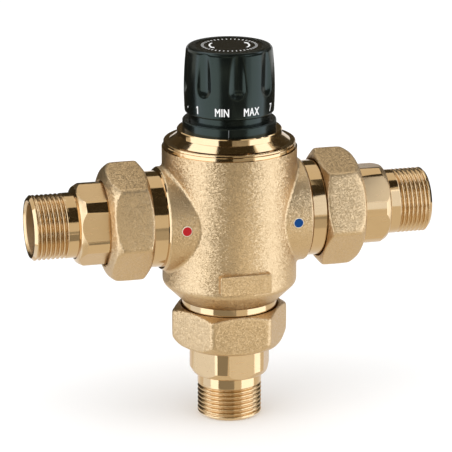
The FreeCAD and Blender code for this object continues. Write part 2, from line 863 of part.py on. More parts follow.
def make_stop_ring():
    """Moulded ring with the index line and the post that limits the knob."""
    spigot_top = ring_top + ring_spigot_height
    bore = bonnet_neck_radius + fit_gap
    outside = turned([
        (0, ring_bottom),
        (ring_radius, ring_bottom, ring_edge_round),
        (ring_radius, ring_top, ring_edge_round),
        (ring_spigot_radius, ring_top),
        (ring_spigot_radius, spigot_top),
        (0, spigot_top),
    ])
    core = ring(ring_core_inner, ring_core_outer, ring_bottom, ring_core_height)
    ribs = [spoke(0, ring_radius, ring_rib_width, ring_bottom, ring_core_height, index * 360 / ring_rib_count)
            for index in range(ring_rib_count)]
    bore_height = spigot_top - ring_bottom
    hole = disc(bore, ring_bottom, bore_height)
    flat_height = bonnet_neck_height + fit_gap
    keep = neck_waste(bore, bonnet_neck_flats + 2 * fit_gap, ring_bottom, flat_height)
    index_inner = ring_radius - index_depth
    line = spoke(index_inner, 2 * ring_radius, index_width, ring_bottom, ring_height, from_front(index_azimuth))
    post = sector(stop_inner_radius, stop_outer_radius, spigot_top, stop_height,
                  from_front(stop_azimuth), stop_width_deg)
    return outside.cut([core.cut(ribs), hole.cut(keep), line]).fuse(post).removeSplitter()


def flute_cutter(azimuth):
    """Finger groove with a ball end below, shallower towards the knob's narrow top."""
    low_radius = knob_belly_radius - flute_low_depth + flute_radius
    high_radius = knob_shoulder_radius - flute_high_depth + flute_radius
    low = Vector(low_radius, 0, knob_bottom + flute_low_height)
    lean = Vector(high_radius, 0, knob_top - flute_high_drop) - low
    groove = Part.makeCylinder(flute_radius, 2 * lean.Length, low, lean)
    cutter = groove.fuse(Part.makeSphere(flute_radius, low))
    cutter.rotate(CENTRE, UP, from_front(azimuth))
    return cutter


def make_knob():
    """Moulded knob: fluted skirt, ribbed hub with a square socket, and a seat for the cap."""
    side = Part.Arc(
        Vector(knob_foot_radius, 0, knob_bottom),
        Vector(knob_belly_radius, 0, knob_bottom + knob_belly_height),
        Vector(knob_shoulder_radius, 0, knob_top)).toShape()
    floor = Part.LineSegment(Vector(0, 0, knob_bottom), Vector(knob_foot_radius, 0, knob_bottom)).toShape()
    roof = Part.LineSegment(Vector(knob_shoulder_radius, 0, knob_top), Vector(0, 0, knob_top)).toShape()
    axis = Part.LineSegment(Vector(0, 0, knob_top), Vector(0, 0, knob_bottom)).toShape()
    outside = Part.Face(Part.Wire([floor, side, roof, axis])).revolve(CENTRE, UP, 360)
    top_edge = [edge for edge in outside.Edges if abs(edge.BoundBox.ZMin - knob_top) < 1e-6]
    outside = outside.makeFillet(knob_top_round, top_edge)
    foot_edge = [edge for edge in outside.Edges if abs(edge.BoundBox.ZMax - knob_bottom) < 1e-6]
    outside = outside.makeFillet(knob_foot_round, foot_edge)
    outside = outside.cut([flute_cutter(flute_azimuth + index * 360 / flute_count)
                           for index in range(flute_count)])
    roof_z = cap_floor - knob_roof_thickness
    cavity = turned([
        (0, knob_bottom),
        (knob_cavity_radius, knob_bottom),
        (knob_cavity_top_radius, roof_z),
        (0, roof_z),
    ])
    hub_foot = knob_bottom + knob_hub_foot
    hub = disc(knob_hub_radius, hub_foot, roof_z - hub_foot)
    rib_bottom = roof_z - knob_rib_height
    ribs = [spoke(0, knob_cavity_radius, knob_rib_width, rib_bottom, knob_rib_height, index * 360 / knob_rib_count)
            for index in range(knob_rib_count)]
    socket_top = square_top + knob_gap
    socket = prism(square_flats + 2 * knob_socket_gap, 4, knob_bottom, socket_top - knob_bottom, 0)
    screw_hole = disc(screw_radius + sliding_gap, knob_bottom, knob_height)
    well = disc(knob_well_radius, screw_seat, knob_top - screw_seat)
    cap_seat = disc(cap_radius + fit_gap, cap_floor, knob_height)
    knob = outside.cut(cavity.cut([hub] + ribs)).cut([socket, screw_hole, well, cap_seat])
    spare = (360 - knob_travel_deg - 2 * stop_width_deg) / 2
    stop_angle = from_front(stop_azimuth) + stop_width_deg + spare
    stop_bottom = knob_bottom + knob_gap
    stop = sector(stop_inner_radius, knob_cavity_radius + knob_gap, stop_bottom, 2 * stop_height,
                  stop_angle, stop_width_deg)
    return knob.fuse(stop).removeSplitter()


def make_knob_cap():
    """Plain disc that closes the knob's top and hides its screw."""
    top = cap_floor + cap_thickness
    return turned([
        (0, cap_floor - cap_plug_length),
        (cap_plug_radius, cap_floor - cap_plug_length),
        (cap_plug_radius, cap_floor),
        (cap_radius, cap_floor),
        (cap_radius, top, cap_edge_round),
        (0, top),
    ])


def make_knob_screw():
    """Slotted screw that holds the knob on the spindle."""
    head_top = screw_seat + screw_head_height
    screw = turned([
        (0, screw_seat - screw_length),
        (screw_radius, screw_seat - screw_length),
        (screw_radius, screw_seat),
        (screw_head_radius, screw_seat),
        (screw_head_radius, head_top, screw_head_round),
        (0, head_top),
    ])
    slot = Part.makeBox(
        4 * screw_head_radius, screw_slot_width, screw_slot_depth,
        Vector(-2 * screw_head_radius, -screw_slot_width / 2, head_top - screw_slot_depth))
    return screw.cut(slot)


def make_pieces():
    """All pieces of the valve by name."""
    pieces = {
        "body": make_body(),
        "hot_marker": make_marker(-1),
        "cold_marker": make_marker(1),
        "hot_seat": make_hot_seat(),
        "return_spring": spring(return_wire, return_mean_radius, spring_ledge_z,
                                shutter_bottom + shutter_sleeve_start, return_turns),
        "shutter": make_shutter(),
        "shutter_seal": make_shutter_seal(),
        "sensor": make_sensor(),
        "sensor_pin": make_sensor_pin(),
        "overload_cup": make_overload_cup(),
        "overload_spring": spring(overload_wire, overload_mean_radius, cup_top, carrier_ceiling, overload_turns),
        "carrier": make_carrier(),
        "carrier_clip": make_carrier_clip(),
        "bonnet": make_bonnet(),
        "bonnet_seal": make_bonnet_seal(),
        "spindle": make_spindle(),
        "thrust_washer": make_thrust_washer(),
        "spindle_clip": make_spindle_clip(),
        "stop_ring": make_stop_ring(),
        "knob": make_knob(),
        "knob_screw": make_knob_screw(),
        "knob_cap": make_knob_cap(),
    }
    for name in spindle_seal_heights:
        pieces[name] = make_spindle_seal(name)
    for port in PORTS:
        pieces[port + "_tailpiece"] = make_tailpiece(port)
        pieces[port + "_union_nut"] = make_union_nut(port)
        pieces[port + "_gasket"] = make_gasket(port)
    return pieces


os.makedirs("parts", exist_ok=True)
for piece_name, piece in make_pieces().items():
    piece.exportStep(os.path.join("parts", piece_name + ".step"))
    print(piece_name, piece.isValid(), len(piece.Solids), round(piece.Volume, 1))
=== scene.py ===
"""Looks of an adjustable mixing valve: blasted and turned brass, a black dial knob and its printed marks.

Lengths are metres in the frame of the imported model: +Z is up, the dial's index faces -Y, hot water enters
from -X, cold water from +X, and mixed water leaves downwards.
"""

import itertools
import logging
import math
from dataclasses import dataclass, field
from enum import Enum
from typing import Any, Mapping, Sequence

import bmesh
import bpy
import numpy as np
from bpy.types import Material, Node, NodeSocket, Object
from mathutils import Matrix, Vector


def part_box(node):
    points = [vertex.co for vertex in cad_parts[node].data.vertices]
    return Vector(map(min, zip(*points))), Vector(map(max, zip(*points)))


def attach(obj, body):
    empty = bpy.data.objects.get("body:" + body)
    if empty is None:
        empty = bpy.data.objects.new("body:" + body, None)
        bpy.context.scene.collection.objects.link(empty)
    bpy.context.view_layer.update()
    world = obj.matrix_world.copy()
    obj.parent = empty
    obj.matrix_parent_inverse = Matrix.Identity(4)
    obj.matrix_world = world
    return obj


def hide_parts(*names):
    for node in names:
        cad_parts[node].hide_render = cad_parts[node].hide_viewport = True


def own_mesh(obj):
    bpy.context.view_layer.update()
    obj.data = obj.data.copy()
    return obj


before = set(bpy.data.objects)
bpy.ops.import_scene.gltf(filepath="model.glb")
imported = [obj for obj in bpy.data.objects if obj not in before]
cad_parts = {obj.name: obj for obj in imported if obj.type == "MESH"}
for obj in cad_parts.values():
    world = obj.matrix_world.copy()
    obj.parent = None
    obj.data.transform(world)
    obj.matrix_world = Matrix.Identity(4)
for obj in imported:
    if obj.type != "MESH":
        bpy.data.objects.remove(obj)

MM = 0.001
FULL_TURN = 2 * math.pi
ROUGH = "rough"
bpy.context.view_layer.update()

# Where the casting is turned: before each inlet nut, on the outlet's neck and on the barrel's top
INLET_TURNED = 8.2 * MM
NECK_TURNED_TO = 63.2 * MM
TOP_TURNED_FROM = 143.35 * MM
# How far each tail's hexagon reaches into its nut
HEX_INTO_NUT = 1.0 * MM
# Start and end of the marker's pale rim, as shares of its radius
MARKER_RIM = (0.85, 0.89)

log = logging.getLogger("mixer")


class Port(Enum):
    """The three unions of the valve."""

    HOT = "hot"
    COLD = "cold"
    OUTLET = "outlet"

    @property
    def inward(self) -> np.ndarray:
        """Unit vector from the tail's open end into the valve."""
        return {
            Port.HOT: np.array([1.0, 0.0, 0.0]),
            Port.COLD: np.array([-1.0, 0.0, 0.0]),
            Port.OUTLET: np.array([0.0, 0.0, 1.0]),
        }[self]


class Zone(Enum):
    """How a brass surface was finished."""

    BLASTED = "blasted"
    TURNED = "turned"
    CASTING = "casting"


# Surfaces


def grid_faces(rows: int, columns: int, close_rows: bool = False) -> np.ndarray:
    """Join each point of a grid to its neighbours, with the columns closed into rings.

    Args:
        rows: Number of rings.
        columns: Number of points on a ring.
        close_rows: True joins the last ring to the first as well.

    Returns:
        Quads as an array of four point numbers each: (row, column) to (row, column + 1) and so on.
    """
    count = rows if close_rows else rows - 1
    row = np.arange(count)[:, None]
    column = np.arange(columns)[None, :]
    following_row = (row + 1) % rows
    following_column = (column + 1) % columns
    corners = (
        row * columns + column,
        row * columns + following_column,
        following_row * columns + following_column,
        following_row * columns + column,
    )
    return np.stack(np.broadcast_arrays(*corners), axis=-1).reshape(-1, 4)


def smooth_least(first: np.ndarray, second: np.ndarray, blend: float) -> np.ndarray:
    """Rounded least: the mean of two surfaces less half the root of difference squared plus blend squared."""
    return (first + second - np.sqrt((first - second) ** 2 + blend**2)) / 2


def rings(rows: Sequence[tuple[Any, Any]], angle: np.ndarray) -> tuple[np.ndarray, ...]:
    """First and second values of all rows, each row spread over the angles."""
    return tuple(np.stack([np.broadcast_to(value, angle.shape) for value in values]) for values in zip(*rows))


def linked(name: str, data: Any) -> Object:
    """Put some data into the scene.

    Args:
        name: Name of the object.
        data: Its mesh, curve, camera or lamp.

    Returns:
        The new object, at the origin.
    """
    made = bpy.data.objects.new(name, data)
    bpy.context.scene.collection.objects.link(made)
    return made


def flat_sheet(name: str, corners: np.ndarray) -> Object:
    """Make an object of one flat face.

    Args:
        name: Name of the object.
        corners: Its four corners, in order.

    Returns:
        The new object.
    """
    mesh = bpy.data.meshes.new(name)
    mesh.from_pydata(corners.tolist(), [], [[0, 1, 2, 3]])
    return linked(name, mesh)


def mesh_piece(
    name: str, points: np.ndarray, faces: Sequence[Sequence[int]], sharp_deg: float
) -> Object:
    """Make an object at the origin from points and faces.

    Args:
        name: Name of the piece.
        points: Points in metres, as an array whose last axis is x, y, z.
        faces: Point numbers of each face, anticlockwise from outside.
        sharp_deg: Edges that turn by more than this stay sharp.

    Returns:
        The object, with doubled points merged and its faces smooth.
    """
    mesh = bpy.data.meshes.new(name)
    mesh.from_pydata(points.reshape(-1, 3).tolist(), [], [list(face) for face in faces])
    merged = bmesh.new()
    merged.from_mesh(mesh)
    bmesh.ops.remove_doubles(merged, verts=merged.verts, dist=1e-3 * MM)
    bmesh.ops.dissolve_degenerate(merged, edges=merged.edges, dist=1e-4 * MM)
    bmesh.ops.recalc_face_normals(merged, faces=merged.faces)
    merged.to_mesh(mesh)
    merged.free()
    mesh.shade_smooth()
    mesh.set_sharp_from_angle(angle=math.radians(sharp_deg))
    return linked(name, mesh)


def port_frame(port: Port) -> tuple[np.ndarray, np.ndarray, np.ndarray, np.ndarray]:
    """Right-handed frame of a port, read from its tail's box.

    Args:
        port: Which union.

    Returns:
        The middle of the tail's open end, and the directions to the front, to the side and inwards.
    """
    low, high = (np.array(corner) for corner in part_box(port.value + "_tailpiece"))
    inward = port.inward
    middle = (low + high) / 2
    origin = np.where(inward > 0, low, np.where(inward < 0, high, middle))
    front = np.array([0.0, -1.0, 0.0])
    return origin, front, np.cross(inward, front), inward


def along_port(port: Port, node: str) -> tuple[float, float]:
    """Measure a node along a port's axis.

    Args:
        port: Which union.
        node: Name of the node.

    Returns:
        Where it starts and ends, from the tail's open end inwards.
    """
    origin, _, _, inward = port_frame(port)
    ends = [float((np.array(corner) - origin) @ inward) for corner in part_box(node)]
    return min(ends), max(ends)


def direction(azimuth: float, elevation: float) -> np.ndarray:
    """Unit vector at an azimuth from the front towards +X and an elevation, both in radians."""
    return np.array([
        math.sin(azimuth) * math.cos(elevation),
        -math.cos(azimuth) * math.cos(elevation),
        math.sin(elevation),
    ])


def round_axis(radius: np.ndarray, height: np.ndarray, azimuth: np.ndarray) -> np.ndarray:
    """Points at a radius and an azimuth, from the front towards +X, about the upright axis."""
    return np.stack([radius * np.sin(azimuth), -radius * np.cos(azimuth), height], axis=-1)


def round_port(port: Port, radius: np.ndarray, depth: np.ndarray, angle: np.ndarray) -> np.ndarray:
    """Points at a radius, a depth and an angle about a port's axis.

    Args:
        port: Which union.
        radius: Distances from the axis.
        depth: Distances inwards from the tail's open end.
        angle: Angles in radians from the front towards the side direction.

    Returns:
        Origin plus depth times inward plus radius times the turned front direction.
    """
    origin, front, side, inward = port_frame(port)
    outward = np.cos(angle)[..., None] * front + np.sin(angle)[..., None] * side
    return origin + depth[..., None] * inward + radius[..., None] * outward


# Materials


@dataclass
class Shading:
    """A material's node tree with short calls to fill it."""

    name: str
    material: Material = field(init=False)

    def __post_init__(self) -> None:
        """Start with an empty tree."""
        self.material = bpy.data.materials.new(self.name)
        self.material.use_nodes = True
        self.material.node_tree.nodes.clear()

    def add(self, kind: str, inputs: Mapping[Any, Any], **settings: Any) -> Node:
        """Add one node.

        Args:
            kind: The node's type, without its usual beginning.
            inputs: Value or socket for each input, by name or number.
            **settings: The node's own settings.

        Returns:
            The new node.
        """
        node = self.material.node_tree.nodes.new("ShaderNode" + kind)
        for key, value in settings.items():
            setattr(node, key, value)
        for key, value in inputs.items():
            if isinstance(value, NodeSocket):
                self.material.node_tree.links.new(value, node.inputs[key])
            else:
                node.inputs[key].default_value = value
        return node

    def place(self) -> NodeSocket:
        """Object coordinates, in metres."""
        return self.add("TexCoord", {}).outputs["Object"]

    def stretched(self, scale: tuple[float, float, float]) -> NodeSocket:
        """Object coordinates times a scale for each axis."""
        return self.add("Mapping", {"Vector": self.place(), "Scale": scale}).outputs["Vector"]

    def noise(self, scale: float, detail: float = 2.0, vector: NodeSocket | None = None) -> NodeSocket:
        """Cloudy noise from 0 to 1, by waves in a metre and octaves, at Object coordinates or a vector."""
        place = vector if vector is not None else self.place()
        return self.add("TexNoise", {"Vector": place, "Scale": scale, "Detail": detail}).outputs[0]

    def math(self, operation: str, first: Any, second: Any = 0.0) -> NodeSocket:
        """One sum of two values or sockets."""
        return self.add("Math", {0: first, 1: second}, operation=operation).outputs[0]

    def between(
        self, value: Any, low: float, high: float, first: float = 0.0, last: float = 1.0
    ) -> NodeSocket:
        """Value from low to high mapped to first to last, and held beyond."""
        inputs = {0: value, 1: low, 2: high, 3: first, 4: last}
        return self.add("MapRange", inputs, clamp=True).outputs[0]

    def mixed(self, share: Any, first: Any, second: Any) -> NodeSocket:
        """Colour between two colours."""
        return self.add("Mix", {0: share, 6: first, 7: second}, data_type="RGBA").outputs[2]

    def blended(self, share: Any, first: Any, second: Any) -> NodeSocket:
        """Number between two numbers."""
        return self.add("Mix", {0: share, 2: first, 3: second}, data_type="FLOAT").outputs[0]

    def bump(self, height: NodeSocket, distance: float) -> NodeSocket:
        """Normal tilted by a height from 0 to 1, in units of a distance in metres."""
        return self.add("Bump", {"Height": height, "Distance": distance}).outputs[0]

    def tilted(self, random: NodeSocket, amount: float) -> NodeSocket:
        """Tilt the normal at random.

        Args:
            random: Random vector from 0 to 1.
            amount: Size of the tilt.

        Returns:
            The normal plus the vector less one half times the amount, made a unit long.
        """
        offset = self.add("VectorMath", {0: random, 1: (0.5, 0.5, 0.5)}, operation="SUBTRACT").outputs[0]
        push = self.add("VectorMath", {0: offset, "Scale": amount}, operation="SCALE").outputs[0]
        normal = self.add("NewGeometry", {}).outputs["Normal"]
        leaning = self.add("VectorMath", {0: normal, 1: push}, operation="ADD").outputs[0]
        return self.add("VectorMath", {0: leaning}, operation="NORMALIZE").outputs[0]

    def finish(self, inputs: Mapping[str, Any], kind: str = "BsdfPrincipled") -> Material:
        """Close the tree with one shader and give the material."""
        self.add("OutputMaterial", {"Surface": self.add(kind, inputs).outputs[0]})
        return self.material


Colour = tuple[float, float, float, float]


def rgb(red: float, green: float, blue: float) -> Colour:
    """Opaque linear colour."""
    return red, green, blue, 1.0


@dataclass(frozen=True)
class Skin:
    """What one finish gives the surface shader."""

    colour: NodeSocket
    roughness: NodeSocket
    normal: NodeSocket


@dataclass(frozen=True)
class Brass:
    """Brass that is sand-blasted, turned, or a blasted casting with turned ends."""

    name: str
    zone: Zone
    colour: Colour = rgb(0.60, 0.405, 0.195)
    # Darker, more saturated colour of the painted shade in the grain's hollows
    shade_speck: Colour = rgb(0.38, 0.235, 0.095)
    bloom: Colour = rgb(0.64, 0.45, 0.235)
    turned_colour: Colour = rgb(0.585, 0.388, 0.183)
    tarnish: Colour = rgb(0.53, 0.345, 0.155)
    grain_per_metre: float = 2200.0
    grain_tilt: float = 0.34
    drift_per_metre: float = 70.0
    stain_per_metre: float = 180.0
    tool_per_metre: float = 900.0
    tool_depth: float = 0.004 * MM
    turned_beyond: float = 1.0
    turned_below: float = -1.0
    turned_above: float = 1.0

    def blasted(self, nodes: Shading) -> Skin:
        """Small facets, each tilted at random, with darker specks of painted shade between them and slow
        drifts of colour.

        Args:
            nodes: The tree to fill.

        Returns:
            Colour, roughness and normal.
        """
        facets = nodes.add("TexVoronoi", {"Vector": nodes.place(), "Scale": self.grain_per_metre}).outputs
        grain = nodes.noise(self.grain_per_metre)
        drift = nodes.between(nodes.noise(self.drift_per_metre), 0.35, 0.7, 0.0, 0.18)
        # Painted shade: darker specks where the grain noise is low, standing in for light lost between the
        # grains
        hollow_shade = nodes.between(grain, 0.30, 0.52, 0.55, 0.0)
        colour = nodes.mixed(drift, nodes.mixed(hollow_shade, self.colour, self.shade_speck), self.bloom)
        roughness = nodes.between(grain, 0.3, 0.7, 0.46, 0.34)
        return Skin(colour, roughness, nodes.tilted(facets["Color"], self.grain_tilt))

    def turned(self, nodes: Shading) -> Skin:
        """Bright metal with tool marks and a thin tarnish, rougher where the piece is brushed or dull.

        Args:
            nodes: The tree to fill.

        Returns:
            Colour, roughness and normal.
        """
        tool = nodes.noise(self.tool_per_metre, 1.0, nodes.stretched((0.15, 1.0, 1.0)))
        stain = nodes.between(nodes.noise(self.stain_per_metre, 4.0), 0.4, 0.75, 0.0, 0.25)
        colour = nodes.mixed(stain, self.turned_colour, self.tarnish)
        rough = nodes.add("Attribute", {}, attribute_name=ROUGH).outputs["Fac"]
        bright = nodes.between(tool, 0.3, 0.7, 0.07, 0.13)
        return Skin(colour, nodes.math("ADD", bright, rough), nodes.bump(tool, self.tool_depth))

    def casting(self, nodes: Shading) -> Skin:
        """Blasted skin, but turned beyond a distance from the middle, above one level and below another.

        Args:
            nodes: The tree to fill.

        Returns:
            Colour, roughness and normal.
        """
        axes = nodes.add("SeparateXYZ", {0: nodes.place()}).outputs
        beyond = nodes.math("GREATER_THAN", nodes.math("ABSOLUTE", axes[0]), self.turned_beyond)
        above = nodes.math("GREATER_THAN", axes[2], self.turned_above)
        below = nodes.math("LESS_THAN", axes[2], self.turned_below)
        share = nodes.math("MAXIMUM", beyond, nodes.math("MAXIMUM", above, below))
        rough, bright = self.blasted(nodes), self.turned(nodes)
        normals = {0: share, 4: rough.normal, 5: bright.normal}
        return Skin(
            nodes.mixed(share, rough.colour, bright.colour),
            nodes.blended(share, rough.roughness, bright.roughness),
            nodes.add("Mix", normals, data_type="VECTOR").outputs[1],
        )

    def material(self) -> Material:
        """Metal with the skin of its zone.

        Returns:
            The material.
        """
        nodes = Shading(self.name)
        skins = {Zone.BLASTED: self.blasted, Zone.TURNED: self.turned, Zone.CASTING: self.casting}
        made = skins[self.zone](nodes)
        return nodes.finish({
            "Base Color": made.colour,
            "Metallic": 1.0,
            "Roughness": made.roughness,
            "Normal": made.normal,
        })


@dataclass(frozen=True)
class Moulded:
    """Moulded plastic or rubber with a faint mould grain."""

    name: str
    colour: Colour
    worn: Colour
    roughness: float
    grain_per_metre: float = 1500.0
    grain_depth: float = 0.01 * MM
    cloud_per_metre: float = 60.0
    gloss: float = 0.5
    sheen: Colour = rgb(1.0, 1.0, 1.0)

    def material(self) -> Material:
        """A cloudy mix of two near colours, with roughness and bump from a fine noise.

        Returns:
            The material.
        """
        nodes = Shading(self.name)
        grain = nodes.noise(self.grain_per_metre)
        cloud = nodes.between(nodes.noise(self.cloud_per_metre, 3.0), 0.35, 0.7)
        return nodes.finish({
            "Base Color": nodes.mixed(cloud, self.colour, self.worn),
            "Roughness": nodes.between(grain, 0.3, 0.7, 0.85 * self.roughness, 1.15 * self.roughness),
            "Specular IOR Level": self.gloss,
            "Specular Tint": self.sheen,
            "Normal": nodes.bump(grain, self.grain_depth),
        })


@dataclass(frozen=True)
class Wrought:
    """Drawn or pressed metal of an inner piece."""

    name: str
    colour: Colour
    dull: Colour
    roughness: float
    draw_per_metre: float = 700.0
    draw_depth: float = 0.004 * MM

    def material(self) -> Material:
        """Metal whose colour and roughness drift with a fine noise along the draw.

        Returns:
            The material.
        """
        nodes = Shading(self.name)
        drawn = nodes.noise(self.draw_per_metre, 3.0, nodes.stretched((1.0, 1.0, 0.2)))
        share = nodes.between(drawn, 0.35, 0.7)
        return nodes.finish({
            "Base Color": nodes.mixed(share, self.colour, self.dull),
            "Metallic": 1.0,
            "Roughness": nodes.between(drawn, 0.3, 0.7, 0.8 * self.roughness, 1.2 * self.roughness),
            "Normal": nodes.bump(drawn, self.draw_depth),
        })


@dataclass(frozen=True)
class MarkerPaint:
    """Coloured plug with a pale rim."""

    name: str
    colour: Colour
    deep: Colour
    centre: tuple[float, float, float]
    inner: float
    outer: float
    pale: Colour = rgb(0.74, 0.66, 0.50)
    grain_per_metre: float = 2200.0
    grain_depth: float = 0.02 * MM

    def material(self) -> Material:
        """Colour within the inner radius about the plug's axis, pale beyond it.

        Returns:
            The material.
        """
        nodes = Shading(self.name)
        across = tuple(-value for value in self.centre)
        middle = nodes.add("Mapping", {"Vector": nodes.place(), "Location": across}).outputs["Vector"]
        flat = nodes.add("VectorMath", {0: middle, 1: (1.0, 0.0, 1.0)}, operation="MULTIPLY").outputs[0]
        distance = nodes.add("VectorMath", {0: flat}, operation="LENGTH").outputs["Value"]
        rim = nodes.between(distance, self.inner, self.outer)
        grain = nodes.noise(self.grain_per_metre)
        paint = nodes.mixed(nodes.between(grain, 0.35, 0.65), self.colour, self.deep)
        return nodes.finish({
            "Base Color": nodes.mixed(rim, paint, self.pale),
            "Specular IOR Level": 0.12,
            "Roughness": nodes.between(grain, 0.3, 0.7, 0.32, 0.45),
            "Normal": nodes.bump(grain, self.grain_depth),
        })


def dress(piece: Object, material: Material) -> None:
    """Give a piece one material in its only slot."""
    piece.data.materials.clear()
    piece.data.materials.append(material)


# Sub-assemblies


@dataclass
class UnionTail:
    """Turned tail of one union, with its pipe thread cut and a dome turned on its hexagon."""

    port: Port
    hex_turn_deg: float
    hex_reach: float
    crest: float = 16.62 * MM
    thread_start: float = 1.6 * MM
    thread_depth: float = 1.3 * MM
    thread_land: float = 0.45 * MM
    thread_turns: int = 7
    pitch: float = 2.309 * MM
    root_round: float = 0.22
    crest_round: float = 0.12 * MM
    run_out: float = 0.2 * MM
    plain_length: float = 4.7 * MM
    bore: float = 12.8 * MM
    end_chamfer: float = 1.4 * MM
    bore_chamfer: float = 1.2 * MM
    hex_flats: float = 39.0 * MM
    hex_turned: float = 21.0 * MM
    hex_foot: float = 17.1 * MM
    dome: float = 19.3 * MM
    dome_rise: float = 0.7 * MM
    dome_length: float = 3.9 * MM
    dome_blend: float = 0.5 * MM
    dome_rows: int = 12
    lip_run: float = 3.5 * MM
    flange: float = 22.3 * MM
    flange_thickness: float = 4.0 * MM
    bore_rough: float = 0.4
    hex_rough: float = 0.2
    thread_rough: float = 0.12
    thread_margin: float = 0.02 * MM
    corner_margin: float = 0.05 * MM
    rows_per_pitch: int = 20
    flat_points: int = 14
    corner_points: int = 6

    def angles(self) -> np.ndarray:
        """Step evenly along each flat and along each turned corner between two flats.

        Returns:
            Angles round the axis, in radians.
        """
        half_flat = math.acos(self.hex_flats / 2 / self.hex_turned)
        flat = np.linspace(-half_flat, half_flat, self.flat_points, endpoint=False)
        corner = np.linspace(half_flat, FULL_TURN / 6 - half_flat, self.corner_points, endpoint=False)
        sixth = np.concatenate([flat, corner])
        turns = np.arange(6) * FULL_TURN / 6
        return (turns[:, None] + sixth[None, :]).ravel() + math.radians(self.hex_turn_deg)

    def hexagon(self, angle: np.ndarray) -> np.ndarray:
        """Radius of the spanner hexagon.

        Args:
            angle: Angles round the axis.

        Returns:
            Half the flats over the cosine from the nearest flat, held to the turned radius.
        """
        sixth = FULL_TURN / 6
        off_flat = (angle - math.radians(self.hex_turn_deg) + sixth / 2) % sixth - sixth / 2
        return np.minimum(self.hex_flats / 2 / np.cos(off_flat), self.hex_turned)

    def thread(self, depth: np.ndarray, angle: np.ndarray) -> np.ndarray:
        """Radius of the right-hand thread.

        Args:
            depth: Distances from the thread's start.
            angle: Angles round the axis.

        Returns:
            The lesser of the crest and a V with a round root, once in each pitch of depth less the
            helix's lead, which runs in and out at the crest over half a pitch.
        """
        flank = (self.pitch - self.thread_land) / 2
        along = depth[:, None] - self.pitch * angle / FULL_TURN
        off_root = np.abs(along % self.pitch - flank)
        root = self.crest - self.thread_depth
        groove = root + self.thread_depth * np.hypot(off_root / flank, self.root_round)
        cut = smooth_least(groove, np.full_like(along, self.crest), self.crest_round)
        share = np.clip(np.minimum(depth, depth[-1] - depth) / (self.pitch / 2), 0, 1)[:, None]
        return self.crest + (cut - self.crest) * share

    def dome_at(self, radius: np.ndarray) -> np.ndarray:
        """Depth of the dome under the hexagon.

        Args:
            radius: Distances from the axis.

        Returns:
            The greater of two cones at each radius, with a round edge.
        """
        steep = (radius - self.hex_foot) * self.dome_rise / (self.dome - self.hex_foot)
        slope = (self.dome_length - self.dome_rise) / (self.hex_turned - self.dome)
        return -smooth_least(-steep, -self.dome_rise - (radius - self.dome) * slope, self.dome_blend)

    def outline(self, angle: np.ndarray) -> tuple[np.ndarray, ...]:
        """Rows along the tail: open end, thread, dome, hexagon, flange, and back through the bore.

        Args:
            angle: Angles round the axis.

        Returns:
            Depths and radii, one row for each ring of points.
        """
        hexagon = self.hexagon(angle)
        cut = np.arange(self.thread_turns * self.rows_per_pitch + 1) * self.pitch / self.rows_per_pitch
        thread_end = self.thread_start + cut[-1]
        plain_end = thread_end + self.plain_length
        flange_start = self.hex_reach + self.lip_run
        flange_end = flange_start + self.flange_thickness
        domed = self.hex_foot + (hexagon - self.hex_foot) * np.linspace(0, 1, self.dome_rows)[:, None]
        rows = [
            (0.0, self.crest - self.end_chamfer),
            (self.end_chamfer, self.crest),
            *zip(self.thread_start + cut, self.thread(cut, angle)),
            (thread_end + self.run_out, self.crest),
            (thread_end + 2 * self.run_out, self.crest),
            (plain_end, self.crest),
            *zip(plain_end + self.dome_at(domed), domed),
            (self.hex_reach, hexagon),
            (self.hex_reach, self.hex_turned),
            (flange_start, self.hex_turned),
            (flange_start, self.flange),
            (flange_end, self.flange),
            (flange_end, self.bore),
            (self.bore_chamfer, self.bore),
            (0.0, self.bore + self.bore_chamfer),
        ]
        return rings(rows, angle)

    def roughen(self, piece: Object) -> None:
        """Write how much rougher each point is in the bore, on the brushed hexagon and in the thread.

        Args:
            piece: The finished tail.
        """
        origin, _, _, inward = port_frame(self.port)
        flat = np.zeros(len(piece.data.vertices) * 3)
        piece.data.vertices.foreach_get("co", flat)
        place = flat.reshape(-1, 3) - origin
        depth = place @ inward
        radius = np.linalg.norm(place - depth[:, None] * inward, axis=1)
        bore = radius < self.bore + self.bore_chamfer / 2
        cut = (radius < self.crest - self.thread_margin) & (depth > self.thread_start)
        brushed = (radius > self.dome) & (radius < self.hex_turned - self.corner_margin)
        rough = piece.data.attributes.new(ROUGH, "FLOAT", "POINT")
        amounts = [self.bore_rough, self.hex_rough, self.thread_rough]
        rough.data.foreach_set("value", np.select([bore, brushed, cut], amounts, 0.0))

    def build(self) -> Object:
        """Make the tail as one closed surface and let it stand for its node.

        Returns:
            The tail, riding on the valve.
        """
        angle = self.angles()
        depth, radius = self.outline(angle)
        points = round_port(self.port, radius, depth, np.broadcast_to(angle, depth.shape))
        faces = grid_faces(len(depth), len(angle), True)
        piece = mesh_piece(self.port.value + "_tail", points, faces, sharp_deg=28.0)
        self.roughen(piece)
        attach(piece, "valve")
        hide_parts(self.port.value + "_tailpiece")
        return piece


